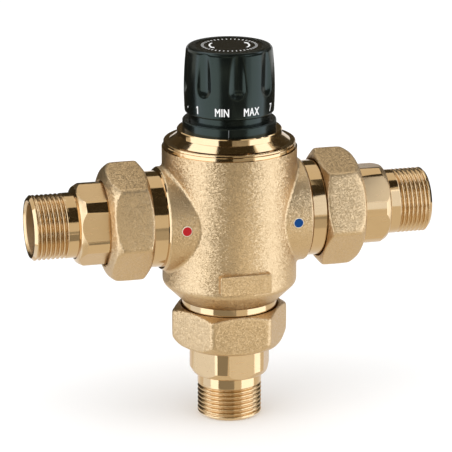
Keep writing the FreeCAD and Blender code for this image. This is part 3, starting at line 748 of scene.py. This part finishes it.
@dataclass
class UnionNut:
    """Forged hexagon nut of one union, with soft blasted edges."""

    port: Port
    hex_turn_deg: float
    flats: float = 53.4 * MM
    outer_rim: float = 22.6 * MM
    dome: float = 27.6 * MM
    dome_rise: float = 1.9 * MM
    dome_length: float = 5.6 * MM
    dome_blend: float = 0.7 * MM
    inner_rim: float = 26.6 * MM
    inner_cone: float = 2.2 * MM
    relief: float = 25.4 * MM
    relief_depth: float = 2.4 * MM
    thread_bore: float = 24.1 * MM
    lip: float = 4.4 * MM
    lip_bore: float = 21.4 * MM
    lip_chamfer: float = 0.6 * MM
    corner_round: float = 3.2 * MM
    edge_blend: float = 1.0 * MM
    columns: int = 360
    outer_rows: int = 40
    flat_rows: int = 10
    inner_rows: int = 30

    def outside(self, depth: np.ndarray, angle: np.ndarray, length: float) -> np.ndarray:
        """Radius of the nut's skin.

        Args:
            depth: Distances from the outer face.
            angle: Angles from the front.
            length: The nut's length.

        Returns:
            The least of the hexagon, whose corners are arcs between its flats, the outer end's two
            cones and the inner end's cone, with round edges.
        """
        sixth = FULL_TURN / 6
        off_flat = np.abs((angle - math.radians(self.hex_turn_deg) + sixth / 2) % sixth - sixth / 2)
        half, off_corner = self.flats / 2, sixth / 2 - off_flat
        across, along = self.corner_round * math.sin(sixth / 2), self.corner_round * math.cos(sixth / 2)
        centre = (half - self.corner_round) / math.cos(sixth / 2)
        arc = np.sqrt(np.clip(self.corner_round**2 - (centre * np.sin(off_corner)) ** 2, 0, None))
        touch = math.atan2(across, centre + along)
        hexagon = np.where(off_corner < touch, centre * np.cos(off_corner) + arc, half / np.cos(off_flat))
        corner = self.flats / math.sqrt(3)
        flat_cone = self.outer_rim + depth * (self.dome - self.outer_rim) / self.dome_rise
        steep = (corner - self.dome) / (self.dome_length - self.dome_rise)
        outer = smooth_least(flat_cone, self.dome + (depth - self.dome_rise) * steep, self.dome_blend)
        inner = self.inner_rim + (length - depth) * (corner - self.inner_rim) / self.inner_cone
        return smooth_least(smooth_least(hexagon, outer, self.edge_blend), inner, self.edge_blend)

    def build(self) -> Object:
        """Make the nut as one closed surface and let it stand for its node.

        Returns:
            The nut, riding on its own body.
        """
        node = self.port.value + "_union_nut"
        start, end = along_port(self.port, node)
        length = end - start
        angle = np.arange(self.columns) * FULL_TURN / self.columns
        outer_end, inner_start = 1.2 * self.dome_length, length - 1.5 * self.inner_cone
        skin = np.concatenate([
            np.linspace(0, outer_end, self.outer_rows, endpoint=False),
            np.linspace(outer_end, inner_start, self.flat_rows, endpoint=False),
            np.linspace(inner_start, length, self.inner_rows),
        ])
        bore = np.array([
            (length, self.relief),
            (length - self.relief_depth, self.relief),
            (length - self.relief_depth, self.thread_bore),
            (self.lip, self.thread_bore),
            (self.lip, self.lip_bore),
            (self.lip_chamfer, self.lip_bore),
            (0.0, self.lip_bore + self.lip_chamfer),
        ])
        depth = np.concatenate([skin, bore[:, 0]])[:, None] + np.zeros_like(angle)
        radius = np.concatenate([
            self.outside(skin[:, None], angle[None, :], length),
            bore[:, 1:] + np.zeros_like(angle),
        ])
        points = round_port(self.port, radius, start + depth, np.broadcast_to(angle, depth.shape))
        faces = grid_faces(len(depth), self.columns, True)
        piece = mesh_piece(self.port.value + "_nut", points, faces, sharp_deg=40.0)
        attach(piece, node.replace("union_", ""))
        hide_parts(node)
        return piece


@dataclass
class DialKnob:
    """Fluted knob with a seat for its cap, a well for its screw and a square socket."""

    foot: float = 22.7 * MM
    belly: float = 23.0 * MM
    belly_height: float = 5.8 * MM
    shoulder: float = 21.75 * MM
    foot_round: float = 1.0 * MM
    top_round: float = 2.2 * MM
    flutes: int = 8
    flute_azimuth_deg: float = -4.6
    flute_radius: float = 6.9 * MM
    flute_low: float = 15.6 * MM
    flute_low_depth: float = 1.9 * MM
    flute_high_drop: float = 2.2 * MM
    flute_high_depth: float = 0.3 * MM
    flute_blend: float = 0.3 * MM
    cap_seat: float = 17.1 * MM
    cap_seat_depth: float = 2.2 * MM
    well: float = 6.0 * MM
    screw_hole: float = 2.3 * MM
    socket: float = 8.6 * MM
    hub: float = 9.0 * MM
    hub_foot: float = 1.5 * MM
    cavity: float = 20.4 * MM
    cavity_top: float = 19.0 * MM
    cavity_height: float = 28.3 * MM
    socket_height: float = 20.4 * MM
    screw_seat: float = 23.4 * MM
    points_per_flute: int = 52
    foot_rows: int = 8
    side_rows: int = 76
    edge_rows: int = 14

    def __post_init__(self) -> None:
        """Read the knob's foot and top from its node."""
        low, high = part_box("knob")
        self.bottom, self.top = low.z, high.z

    def side(self, height: np.ndarray) -> np.ndarray:
        """Radius of the plain side.

        Args:
            height: Heights above the origin.

        Returns:
            The parabola through foot, belly and shoulder.
        """
        stations = [0.0, self.belly_height, self.top - self.bottom]
        curve = np.polyfit(stations, [self.foot, self.belly, self.shoulder], 2)
        return np.polyval(curve, height - self.bottom)

    def groove(self, height: np.ndarray, azimuth: np.ndarray) -> np.ndarray:
        """Radius of the nearest finger groove.

        Args:
            height: Heights above the origin.
            azimuth: Angles from the front.

        Returns:
            The near side of a circle about a leaning line outside the knob, closed as a ball below.
        """
        step = FULL_TURN / self.flutes
        off = (azimuth - math.radians(self.flute_azimuth_deg) + step / 2) % step - step / 2
        low = self.bottom + self.flute_low
        high = self.top - self.flute_high_drop
        low_line = self.belly - self.flute_low_depth + self.flute_radius
        high_line = self.shoulder - self.flute_high_depth + self.flute_radius
        line = low_line + (high_line - low_line) * np.clip((height - low) / (high - low), 0, None)
        below = np.clip(low - height, 0, self.flute_radius)
        circle = self.flute_radius**2 - below**2
        return line * np.cos(off) - np.sqrt(np.clip(circle - (line * np.sin(off)) ** 2, 0, None))

    def profile(self) -> np.ndarray:
        """Follow the outside: round foot, side, round top edge and the top's ring.

        Returns:
            Radius and height of each row.
        """
        foot = np.linspace(-math.pi / 2, 0, self.foot_rows, endpoint=False)
        foot_centre = self.bottom + self.foot_round
        foot_radius = self.side(foot_centre) - self.foot_round
        side = np.linspace(foot_centre, self.top - self.top_round, self.side_rows, endpoint=False)
        edge = np.linspace(0, math.pi / 2, self.edge_rows)
        edge_centre = self.top - self.top_round
        edge_radius = self.side(edge_centre) - self.top_round
        radius = np.concatenate([
            foot_radius + self.foot_round * np.cos(foot),
            self.side(side),
            edge_radius + self.top_round * np.cos(edge),
            [self.cap_seat],
        ])
        height = np.concatenate([
            foot_centre + self.foot_round * np.sin(foot),
            side,
            edge_centre + self.top_round * np.sin(edge),
            [self.top],
        ])
        return np.stack([radius, height], axis=1)

    def inside(self, azimuth: np.ndarray) -> tuple[np.ndarray, ...]:
        """Rows of the cap's seat, the screw's well, the square socket, the hub and the cavity.

        Args:
            azimuth: Angles from the front.

        Returns:
            Radii and heights, one row for each edge. The socket is half its flats over the larger of
            sine and cosine.
        """
        square = self.socket / 2 / np.maximum(np.abs(np.sin(azimuth)), np.abs(np.cos(azimuth)))
        seat = self.top - self.cap_seat_depth
        screw_seat, socket_top = self.bottom + self.screw_seat, self.bottom + self.socket_height
        hub_foot, ceiling = self.bottom + self.hub_foot, self.bottom + self.cavity_height
        return rings([
            (self.cap_seat, seat),
            (self.well, seat),
            (self.well, screw_seat),
            (self.screw_hole, screw_seat),
            (self.screw_hole, socket_top),
            (square, socket_top),
            (square, hub_foot),
            (self.hub, hub_foot),
            (self.hub, ceiling),
            (self.cavity_top, ceiling),
            (self.cavity, self.bottom),
        ], azimuth)

    def build(self) -> Object:
        """Make the knob as one closed surface and let it stand for its node.

        Returns:
            The knob, riding on the dial.
        """
        columns = self.flutes * self.points_per_flute
        azimuth = np.arange(columns) * FULL_TURN / columns + math.radians(self.flute_azimuth_deg)
        outline = self.profile()
        height = outline[:, 1:] + np.zeros_like(azimuth)
        plain = outline[:, :1] + np.zeros_like(azimuth)
        fluted = smooth_least(plain, self.groove(height, azimuth[None, :]), self.flute_blend)
        inner_radius, inner_height = self.inside(azimuth)
        radius = np.concatenate([fluted, inner_radius])
        height = np.concatenate([height, inner_height])
        points = round_axis(radius, height, np.broadcast_to(azimuth, radius.shape))
        faces = grid_faces(len(points), columns, True)
        piece = mesh_piece("dial_knob", points, faces, sharp_deg=40.0)
        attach(piece, "dial")
        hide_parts("knob")
        return piece


# Outline of the figure one, across and up, in letter heights
FIGURE_ONE = (
    (-0.14, 0.84), (-0.14, 0.72), (-0.02, 0.78), (-0.02, 0.0), (0.10, 0.0), (0.10, 1.0), (0.0, 1.0),
)


@dataclass
class DialMarks:
    """White figures and dots printed round the knob's foot."""

    knob: DialKnob
    centre_height: float = 4.2 * MM
    letter_height: float = 4.1 * MM
    dot_height: float = 0.9 * MM
    squeeze: float = 0.67
    spacing: float = 1.08
    bolder: float = 0.10 * MM
    overlap: float = 0.02 * MM
    sunk: float = 0.10 * MM
    proud: float = 0.06 * MM
    low_azimuth_deg: float = -24.5
    high_azimuth_deg: float = 14.2
    first_azimuth_deg: float = -59.5
    step_deg: float = -42.0
    figures: int = 7

    def words(self) -> list[tuple[str, float, float]]:
        """Lay out the dial.

        Returns:
            Each mark's text, its azimuth in degrees and its height.
        """
        marks = [
            ("MIN", self.low_azimuth_deg, self.letter_height),
            ("MAX", self.high_azimuth_deg, self.letter_height),
        ]
        for index in range(self.figures):
            azimuth = self.first_azimuth_deg + index * self.step_deg
            marks.append((str(index + 1), azimuth, self.letter_height))
            if index + 1 < self.figures:
                marks.append((".", azimuth + self.step_deg / 2, self.dot_height))
        return marks

    def letters(self, text: str, height: float) -> tuple[np.ndarray, list[list[int]]]:
        """Flat letters as a closed slab.

        Args:
            text: What is written.
            height: Height of the letters.

        Returns:
            Points across, up and out of the print, from -1 to 1 in depth, and the slab's faces.
        """
        if text == "1":
            count = len(FIGURE_ONE)
            rows = np.array([(*point, depth) for depth in (-1.0, 1.0) for point in FIGURE_ONE])
            faces = [*grid_faces(2, count).tolist(), list(range(count)), list(range(count, 2 * count))]
            return (rows - np.array([0.0, 0.5, 0.0])) * np.array([height, height, 1.0]), faces
        curve = bpy.data.curves.new("letters", "FONT")
        curve.body = text
        curve.extrude = 1.0
        curve.space_character = self.spacing
        curve.resolution_u = 4
        writing = linked("letters", curve)
        shown = writing.evaluated_get(bpy.context.evaluated_depsgraph_get())
        mesh = bpy.data.meshes.new_from_object(shown)
        flat = np.zeros(len(mesh.vertices) * 3)
        mesh.vertices.foreach_get("co", flat)
        faces = [list(face.vertices) for face in mesh.polygons]
        bpy.data.objects.remove(writing)
        bpy.data.meshes.remove(mesh)
        points = flat.reshape(-1, 3)
        low, high = points.min(axis=0), points.max(axis=0)
        scale = height / (high[1] - low[1])
        middle = (low + high) / 2
        return (points - middle) * np.array([scale * self.squeeze, scale, 1.0]), faces

    def build(self) -> Object:
        """Bend every mark onto the knob twice, a little apart.

        Across becomes azimuth, up becomes height, and depth is added to the radius.

        Returns:
            All marks as one piece, riding on the dial.
        """
        middle = self.knob.bottom + self.centre_height
        points, faces, count = [], [], 0
        for (text, azimuth_deg, height), side in itertools.product(self.words(), (-1, 1)):
            flat, slab = self.letters(text, height)
            level = middle + flat[:, 1]
            depth = np.where(flat[:, 2] > 0, self.proud, -self.sunk) + side * self.overlap / 2
            azimuth = math.radians(azimuth_deg) + (flat[:, 0] + side * self.bolder) / self.knob.belly
            points.append(round_axis(self.knob.side(level) + depth, level, azimuth))
            faces.extend([[index + count for index in face] for face in slab])
            count += len(flat)
        piece = mesh_piece("dial_marks", np.concatenate(points), faces, sharp_deg=30.0)
        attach(piece, "dial")
        return piece


@dataclass
class CapPrint:
    """Plain ring of ticks with two curved arrows, printed on the knob's cap."""

    tick_inner: float = 13.0 * MM
    tick_outer: float = 14.4 * MM
    tick_width_deg: float = 2.2
    ticks: int = 40
    arrow_inner: float = 9.6 * MM
    arrow_outer: float = 10.5 * MM
    arrow_span_deg: float = 58.0
    arrow_head: float = 1.3 * MM
    arrow_azimuths_deg: tuple[float, float] = (-105.0, 75.0)
    arrow_tip: float = 0.02 * MM
    head_span_deg: float = 14.0
    strip_steps: int = 13
    sunk: float = 0.05 * MM
    proud: float = 0.04 * MM

    def band(
        self, first: np.ndarray, last: np.ndarray, inner: Sequence[float], outer: Sequence[float]
    ) -> np.ndarray:
        """Cross-sections of flat strips round the knob's axis, on the cap's top.

        Args:
            first: Angle where each strip starts.
            last: Angle where it ends.
            inner: Inner radius at the start and at the end.
            outer: Outer radius at the start and at the end.

        Returns:
            Points as strip, step along it, and corner: inner and outer edge, below and above the cap's face.
        """
        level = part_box("knob_cap")[1].z
        share = np.linspace(0, 1, self.strip_steps)
        azimuth = first[:, None] + (last - first)[:, None] * share
        near, far = (edge[0] + (edge[1] - edge[0]) * share for edge in (inner, outer))
        low, high = np.full_like(azimuth, level - self.sunk), np.full_like(azimuth, level + self.proud)
        corners = [(near, low), (far, low), (far, high), (near, high)]
        return np.stack([round_axis(radius, height, azimuth) for radius, height in corners], axis=2)

    def build(self) -> Object:
        """Make ticks, arrow shafts and arrow heads as closed strips on the cap's top.

        Returns:
            The print as one piece, riding on the dial.
        """
        tick = np.radians(np.arange(self.ticks) * 360 / self.ticks)
        half = math.radians(self.tick_width_deg) / 2
        turn = np.radians(np.array(self.arrow_azimuths_deg))
        shaft = math.radians(self.arrow_span_deg) / 2
        head = math.radians(self.head_span_deg)
        middle = (self.arrow_inner + self.arrow_outer) / 2
        spread = np.array([self.arrow_head, self.arrow_tip])
        strips = np.concatenate([
            self.band(tick - half, tick + half, [self.tick_inner] * 2, [self.tick_outer] * 2),
            self.band(turn - shaft, turn + shaft, [self.arrow_inner] * 2, [self.arrow_outer] * 2),
            self.band(turn + shaft, turn + shaft + head, middle - spread, middle + spread),
        ])
        count, steps, corners = strips.shape[:3]
        sides = grid_faces(steps, corners)
        ends = np.array([[0, 1, 2, 3], np.arange(4) + (steps - 1) * corners])
        strip = np.concatenate([sides, ends])
        faces = (strip[None] + np.arange(count)[:, None, None] * steps * corners).reshape(-1, 4)
        piece = mesh_piece("cap_print", strips, faces, sharp_deg=30.0)
        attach(piece, "dial")
        return piece


@dataclass
class ShoulderRim:
    """Raised edge of the bonnet's shoulder, round the stop ring's foot."""

    inner: float = 23.95 * MM
    shoulder: float = 26.7 * MM
    skin: float = 0.05 * MM
    skirt: float = 0.6 * MM
    rise: float = 1.4 * MM
    edge: float = 0.4 * MM
    columns: int = 192

    def build(self) -> Object:
        """Turn a profile about the upright axis: a skirt, an upright wall and a bevelled top.

        Returns:
            The rim, riding on the valve.
        """
        foot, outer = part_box("stop_ring")[0].z, self.shoulder + self.skin
        outline = np.array([
            (self.inner, foot),
            (self.shoulder, foot),
            (self.shoulder, foot - self.skirt),
            (outer, foot - self.skirt),
            (outer, foot + self.rise - self.edge),
            (outer - self.edge, foot + self.rise),
            (self.inner, foot + self.rise),
        ])
        azimuth = np.arange(self.columns) * FULL_TURN / self.columns
        points = round_axis(*np.broadcast_arrays(outline[:, :1], outline[:, 1:], azimuth))
        faces = grid_faces(len(outline), self.columns, True)
        piece = mesh_piece("shoulder_rim", points, faces, sharp_deg=28.0)
        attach(piece, "valve")
        return piece


@dataclass
class IndexLine:
    """Pale paint in the stop ring's index groove."""

    azimuth_deg: float = -16.0
    width: float = 0.4 * MM
    radius: float = 23.9 * MM
    groove: float = 0.34 * MM
    thickness: float = 0.2 * MM
    lowest: float = 1.6 * MM
    highest: float = 5.6 * MM

    def build(self) -> Object:
        """Carry a small rectangle up the groove: across becomes azimuth, and thickness adds to the radius.

        Returns:
            The line, riding on the valve.
        """
        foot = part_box("stop_ring")[0].z
        level = foot + np.array([[self.lowest], [self.highest]])
        half = self.width / 2 / self.radius
        azimuth = math.radians(self.azimuth_deg) + half * np.array([-1, 1, 1, -1])
        radius = self.radius - self.groove + self.thickness * np.array([0, 0, 1, 1])
        points = round_axis(*np.broadcast_arrays(radius, level, azimuth))
        faces = [*grid_faces(2, 4).tolist(), [0, 1, 2, 3], [4, 5, 6, 7]]
        piece = mesh_piece("index_line", points, faces, sharp_deg=30.0)
        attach(piece, "valve")
        return piece


@dataclass
class Coil:
    """Round-wire spring, ground flat on its seats."""

    node: str
    body: str
    joint: str
    wire: float
    turns: float
    anchor_low: bool
    keep: float
    ring_points: int = 12
    turn_points: int = 40

    def build(self) -> Object:
        """Carry a circle along a helix between the node's lowest and highest level.

        Returns:
            The spring, riding on its body.
        """
        low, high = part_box(self.node)
        mean = high.x - self.wire / 2
        steps = round(self.turns * self.turn_points) + 1
        along = np.linspace(0, self.turns * FULL_TURN, steps)[:, None]
        round_wire = np.arange(self.ring_points)[None, :] * FULL_TURN / self.ring_points
        radius = mean + self.wire / 2 * np.cos(round_wire)
        height = low.z + (high.z - low.z) * along / along.max() + self.wire / 2 * np.sin(round_wire)
        level = np.clip(height, low.z, high.z)
        across, back = radius * np.cos(along), radius * np.sin(along)
        points = np.stack(np.broadcast_arrays(across, back, level), axis=-1)
        faces = grid_faces(steps, self.ring_points).tolist()
        last = (steps - 1) * self.ring_points
        faces += [list(range(self.ring_points)), list(range(last, last + self.ring_points))]
        piece = mesh_piece(self.node.replace("_spring", "_coil"), points, faces, sharp_deg=50.0)
        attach(piece, self.body)
        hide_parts(self.node)
        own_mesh(piece)
        return piece


# Studio

SOFTBOX = rgb(0.86, 1.0, 1.34)
DAYLIGHT = rgb(1.0, 1.0, 1.0)
DARK_ROOM = rgb(1.0, 0.85, 0.55)


@dataclass
class Card:
    """Soft box or black flag that only reflections see."""

    name: str
    azimuth_deg: float
    elevation_deg: float
    width_deg: float
    height_deg: float
    strength: float
    colour: Colour = SOFTBOX
    distance: float = 3.0
    faces_mm: tuple[float, float, float] = (0.0, 0.0, 100.0)
    roll_deg: float = 0.0

    def build(self) -> Object:
        """Hang a flat card at its direction and distance from the point that it faces.

        Returns:
            The card, as part of the stage.
        """
        azimuth, elevation, roll = np.radians([self.azimuth_deg, self.elevation_deg, self.roll_deg])
        outward = direction(azimuth, elevation)
        level = np.array([math.cos(azimuth), math.sin(azimuth), 0.0])
        rise = np.cross(outward, level)
        across = math.cos(roll) * level - math.sin(roll) * rise
        upright = math.sin(roll) * level + math.cos(roll) * rise
        half_width = self.distance * math.tan(math.radians(self.width_deg) / 2)
        half_height = self.distance * math.tan(math.radians(self.height_deg) / 2)
        signs = np.array([(-1, -1), (1, -1), (1, 1), (-1, 1)])
        corners = (
            np.array(self.faces_mm) * MM + self.distance * outward
            + signs[:, :1] * half_width * across + signs[:, 1:] * half_height * upright
        )
        card = flat_sheet(self.name, corners)
        glow = {"Color": self.colour, "Strength": self.strength}
        dress(card, Shading(self.name).finish(glow, "Emission"))
        for ray in ("camera", "diffuse", "shadow", "transmission"):
            setattr(card, "visible_" + ray, False)
        return card


@dataclass
class Studio:
    """Pale floor, white surround, soft lamps, cards for reflections, and the camera."""

    target: Vector = field(default_factory=lambda: Vector((0.0, 0.0, 100.568 * MM)))
    camera_azimuth_deg: float = -15.234
    camera_elevation_deg: float = 16.457
    camera_distance: float = 1420.27 * MM
    lens: float = 220.58
    shift_x: float = -0.00743
    floor_half: float = 8.0
    lamp_distance: float = 2.0

    def aim(self, thing: Object, azimuth_deg: float, elevation_deg: float, distance: float) -> None:
        """Hang a camera or lamp at a direction and distance from the target, facing it.

        Args:
            thing: The camera or lamp.
            azimuth_deg: Direction round the valve, from the front towards +X.
            elevation_deg: Height above the horizon.
            distance: Distance from the target in metres.
        """
        back = Vector(direction(math.radians(azimuth_deg), math.radians(elevation_deg)))
        thing.location = self.target + back * distance
        thing.rotation_euler = (-back).to_track_quat("-Z", "Y").to_euler()

    def camera(self) -> None:
        """Camera at the photograph's viewing angle."""
        lens = bpy.data.cameras.new("camera")
        lens.lens = self.lens
        lens.sensor_width = 36.0
        lens.shift_x = self.shift_x
        lens.clip_end = 50.0
        camera = linked("camera", lens)
        self.aim(camera, self.camera_azimuth_deg, self.camera_elevation_deg, self.camera_distance)
        bpy.context.scene.camera = camera

    def surround(self) -> None:
        """White world of strength 1, alike to the camera, in reflections and as soft light."""
        world = bpy.data.worlds.new("surround")
        bpy.context.scene.world = world
        world.use_nodes = True
        tree = world.node_tree
        tree.nodes.clear()
        glow = tree.nodes.new("ShaderNodeBackground")
        glow.inputs["Color"].default_value = rgb(1.0, 1.0, 1.0)
        glow.inputs["Strength"].default_value = 1.0
        output = tree.nodes.new("ShaderNodeOutputWorld")
        tree.links.new(glow.outputs[0], output.inputs["Surface"])

    def floor(self) -> None:
        """Pale floor under the outlet, which keeps the valve's shadow."""
        signs = np.array([(-1, -1, 0), (1, -1, 0), (1, 1, 0), (-1, 1, 0)])
        floor = flat_sheet("floor", self.floor_half * signs)
        nodes = Shading("floor")
        pale = nodes.mixed(nodes.noise(2.0), rgb(0.95, 0.95, 0.95), rgb(0.97, 0.97, 0.97))
        dress(floor, nodes.finish({"Color": pale}, "BsdfDiffuse"))
        floor.visible_glossy = False

    def lamp(
        self, name: str, azimuth_deg: float, elevation_deg: float, size: float, power: float
    ) -> None:
        """Square soft lamp that faces the target.

        Args:
            name: The lamp's name.
            azimuth_deg: Direction round the valve, from the front towards +X.
            elevation_deg: Height above the horizon.
            size: Side of the lamp in metres.
            power: Its power in watts.
        """
        light = bpy.data.lights.new(name, "AREA")
        light.size = size
        light.energy = power
        lamp = linked(name, light)
        self.aim(lamp, azimuth_deg, elevation_deg, self.lamp_distance)
        lamp.visible_glossy = False

    def build(self, cards: Sequence[Card]) -> None:
        """Set up the whole studio.

        Args:
            cards: Soft boxes and flags for the reflections.
        """
        bpy.context.scene.view_settings.view_transform = "Standard"
        self.camera()
        self.surround()
        self.floor()
        self.lamp("key", -50.0, 60.0, size=1.4, power=9.0)
        self.lamp("fill", 60.0, 45.0, size=1.6, power=5.0)
        for card in cards:
            card.build()


def studio_cards() -> list[Card]:
    """Lay out soft boxes left and right, dark room between, and near cards that one part sees.

    Returns:
        The cards.
    """
    # The points, in mm, that the near cards face
    hot, cold, cold_tail = (-72.0, -12.0, 118.0), (66.0, -12.0, 118.0), (75.0, 0.0, 105.0)
    hot_collar, cold_collar, foot = (-45.0, -20.0, 100.0), (45.0, -20.0, 100.0), (0.0, 0.0, 40.0)
    barrel, pad, bonnet = (0.0, 0.0, 130.0), (10.0, -36.0, 76.0), (0.0, -30.0, 150.0)
    cone, rim, ring = (8.0, -20.0, 148.0), (0.0, 0.0, 145.0), (0.0, 0.0, 165.0)
    knob, cap = (0.0, 0.0, 178.0), (0.0, 0.0, 196.0)
    # Name, azimuth, elevation, width and height in degrees, strength, colour, distance, point and roll
    return [
        Card("softbox_left", -74.0, 6.0, 72.0, 78.0, 2.5),
        Card("softbox_left_high", -112.0, 62.0, 50.0, 32.0, 2.5),
        Card("softbox_right", 56.5, -5.0, 53.0, 54.0, 2.5),
        Card("softbox_right_high", 72.0, 44.0, 60.0, 28.0, 2.5),
        Card("softbox_back", 112.0, 55.0, 14.0, 16.0, 2.5),
        Card("softbox_cold", 18.0, 22.0, 22.0, 50.0, 1.55, SOFTBOX, 0.30, cold_tail),
        Card("softbox_pad", 15.0, -16.5, 26.0, 16.0, 2.0, DAYLIGHT, 0.09, pad),
        Card("flag_front", -19.0, -16.5, 38.0, 24.0, 0.05, DARK_ROOM),
        Card("flag_knob_left", -124.0, -16.0, 44.0, 22.0, 0.05, DARK_ROOM, 0.10, knob),
        Card("flag_back_left", -150.0, -8.0, 58.0, 40.0, 0.05, DARK_ROOM, 0.25, barrel),
        Card("flag_back", 178.0, 25.0, 50.0, 34.0, 0.08, DARK_ROOM),
        Card("flag_right_high", 118.0, 20.0, 60.0, 20.0, 0.08, DARK_ROOM),
        Card("flag_right_top", 134.0, 36.0, 20.0, 20.0, 0.06, DARK_ROOM),
        Card("flag_left_top", -157.0, 40.0, 18.0, 18.0, 0.06, DARK_ROOM),
        Card("flag_cone", 0.0, 90.0, 46.0, 20.0, 0.05, DARK_ROOM, 0.08, cone),
        Card("flag_bonnet", -9.0, 20.0, 74.0, 16.0, 0.05, DARK_ROOM, 0.14, bonnet),
        Card("flag_rim", 8.0, -16.0, 33.0, 8.0, 0.5, DAYLIGHT, 0.40, rim),
        Card("flag_ring", 115.0, -13.0, 60.0, 13.0, 0.06, DARK_ROOM, 0.25, ring),
        Card("flag_knob", 13.0, -14.5, 27.0, 13.0, 0.10, DARK_ROOM, 0.15, knob),
        Card("flag_brow", -8.0, 41.0, 60.0, 24.0, 0.05, DARK_ROOM, 0.20, knob),
        Card("flag_cap_left", -70.0, 17.0, 70.0, 30.0, 0.05, DARK_ROOM, 0.12, cap),
        Card("flag_cap_right", 58.0, 17.0, 62.0, 30.0, 0.05, DARK_ROOM, 0.12, cap),
        Card("flag_hot", 26.2, 55.2, 18.0, 44.0, 0.05, DARK_ROOM, 0.30, hot, 22.0),
        Card("flag_cold", 37.3, 65.5, 18.0, 28.0, 0.07, DARK_ROOM, 0.15, cold, 34.7),
        Card("flag_hot_low", 14.5, -22.0, 14.0, 24.0, 0.65, DAYLIGHT, 0.12, hot_collar),
        Card("flag_cold_low", 14.5, -22.0, 14.0, 24.0, 0.75, DAYLIGHT, 0.12, cold_collar),
        Card("apron_left", -102.0, -19.0, 34.0, 22.0, 1.4, SOFTBOX, 0.22, foot),
        Card("apron", -26.0, -17.0, 52.0, 28.0, 0.42, DAYLIGHT, 0.25, foot),
    ]


def dress_nodes(finishes: Sequence[tuple[Material, str]]) -> None:
    """Give every node that is still shown its finish.

    Args:
        finishes: Each material with the names of its nodes.
    """
    for material, names in finishes:
        for name in names.split():
            dress(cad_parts[name], material)
            log.info("%s: %s", name, material.name)


def marker(name: str, colour: Colour, deep: Colour) -> Material:
    """Paint one coloured plug.

    Args:
        name: Name of its node.
        colour: The paint's colour.
        deep: The paint's darker colour.

    Returns:
        The finish, centred on the node.
    """
    low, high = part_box(name)
    inner, outer = (share * (high.x - low.x) / 2 for share in MARKER_RIM)
    return MarkerPaint(name, colour, deep, tuple((low + high) / 2), inner, outer).material()


def main() -> None:
    """Build and dress the valve, its marks and the studio."""
    logging.basicConfig(level=logging.INFO, format="%(name)s: %(message)s")
    casting = Brass(
        "cast_brass", Zone.CASTING, turned_beyond=-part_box("hot_union_nut")[1].x - INLET_TURNED,
        turned_below=NECK_TURNED_TO, turned_above=TOP_TURNED_FROM,
    ).material()
    blasted = Brass("blasted_brass", Zone.BLASTED).material()
    turned = Brass("turned_brass", Zone.TURNED).material()
    black = Moulded(
        "black_plastic", rgb(0.003, 0.0045, 0.0045), rgb(0.005, 0.0065, 0.0065), 0.2,
        gloss=0.34, sheen=rgb(0.86, 1.0, 0.68),
    ).material()
    gloss = Moulded("cap_plastic", rgb(0.003, 0.003, 0.003), rgb(0.005, 0.005, 0.005), 0.1).material()
    rubber = Moulded("seal_rubber", rgb(0.012, 0.012, 0.012), rgb(0.022, 0.022, 0.022), 0.55).material()
    fibre = Moulded("gasket_fibre", rgb(0.10, 0.05, 0.03), rgb(0.16, 0.08, 0.05), 0.7).material()
    acetal = Moulded("shutter_plastic", rgb(0.55, 0.53, 0.46), rgb(0.62, 0.60, 0.54), 0.4).material()
    slippery = Moulded("washer_plastic", rgb(0.72, 0.71, 0.66), rgb(0.80, 0.79, 0.75), 0.35).material()
    print_white = Moulded("white_print", rgb(0.86, 0.86, 0.85), rgb(0.93, 0.93, 0.92), 0.45).material()
    print_grey = Moulded("grey_print", rgb(0.10, 0.11, 0.11), rgb(0.14, 0.15, 0.15), 0.45).material()
    steel = Wrought("spring_steel", rgb(0.52, 0.52, 0.53), rgb(0.40, 0.40, 0.41), 0.28).material()
    copper = Wrought("sensor_copper", rgb(0.80, 0.42, 0.26), rgb(0.60, 0.30, 0.18), 0.30).material()

    tail_turns = {Port.HOT: -9.6, Port.COLD: -24.0, Port.OUTLET: 4.0}
    nut_turns = {Port.HOT: -15.5, Port.COLD: 17.0, Port.OUTLET: -2.0}
    for port in Port:
        nut_start = along_port(port, port.value + "_union_nut")[0]
        tail = UnionTail(port, tail_turns[port], nut_start + HEX_INTO_NUT).build()
        dress(tail, turned)
        nut = UnionNut(port, nut_turns[port]).build()
        dress(nut, blasted)
        log.info("%s union: %d and %d faces", port.value, len(tail.data.polygons), len(nut.data.polygons))

    knob = DialKnob()
    top = (
        (knob.build(), black),
        (DialMarks(knob).build(), print_white),
        (CapPrint().build(), print_white),
        (IndexLine().build(), print_grey),
        (ShoulderRim().build(), turned),
    )
    for piece, finish in top:
        dress(piece, finish)
        log.info("%s: %d faces", piece.name, len(piece.data.polygons))

    coils = (
        Coil("return_spring", "valve", "shutter_travel", 1.8 * MM, 6.0, anchor_low=True, keep=0.942),
        Coil("overload_spring", "drive", "overload_travel", 2.2 * MM, 2.5, anchor_low=False, keep=0.79),
    )
    for coil in coils:
        dress(coil.build(), steel)
        log.info("%s: %g turns", coil.node, coil.turns)

    hot_paint = marker("hot_marker", rgb(0.46, 0.012, 0.016), rgb(0.38, 0.008, 0.011))
    cold_paint = marker("cold_marker", rgb(0.0, 0.055, 0.22), rgb(0.0, 0.042, 0.17))
    dress_nodes((
        (casting, "body"),
        (turned, "bonnet hot_seat spindle carrier overload_cup"),
        (black, "stop_ring"),
        (gloss, "knob_cap"),
        (hot_paint, "hot_marker"),
        (cold_paint, "cold_marker"),
        (rubber, "bonnet_seal shutter_seal spindle_seal_lower spindle_seal_upper"),
        (fibre, "hot_gasket cold_gasket outlet_gasket"),
        (acetal, "shutter"),
        (slippery, "thrust_washer"),
        (copper, "sensor"),
        (steel, "sensor_pin carrier_clip spindle_clip knob_screw"),
    ))
    Studio().build(studio_cards())


if __name__ == "__main__":
    main()
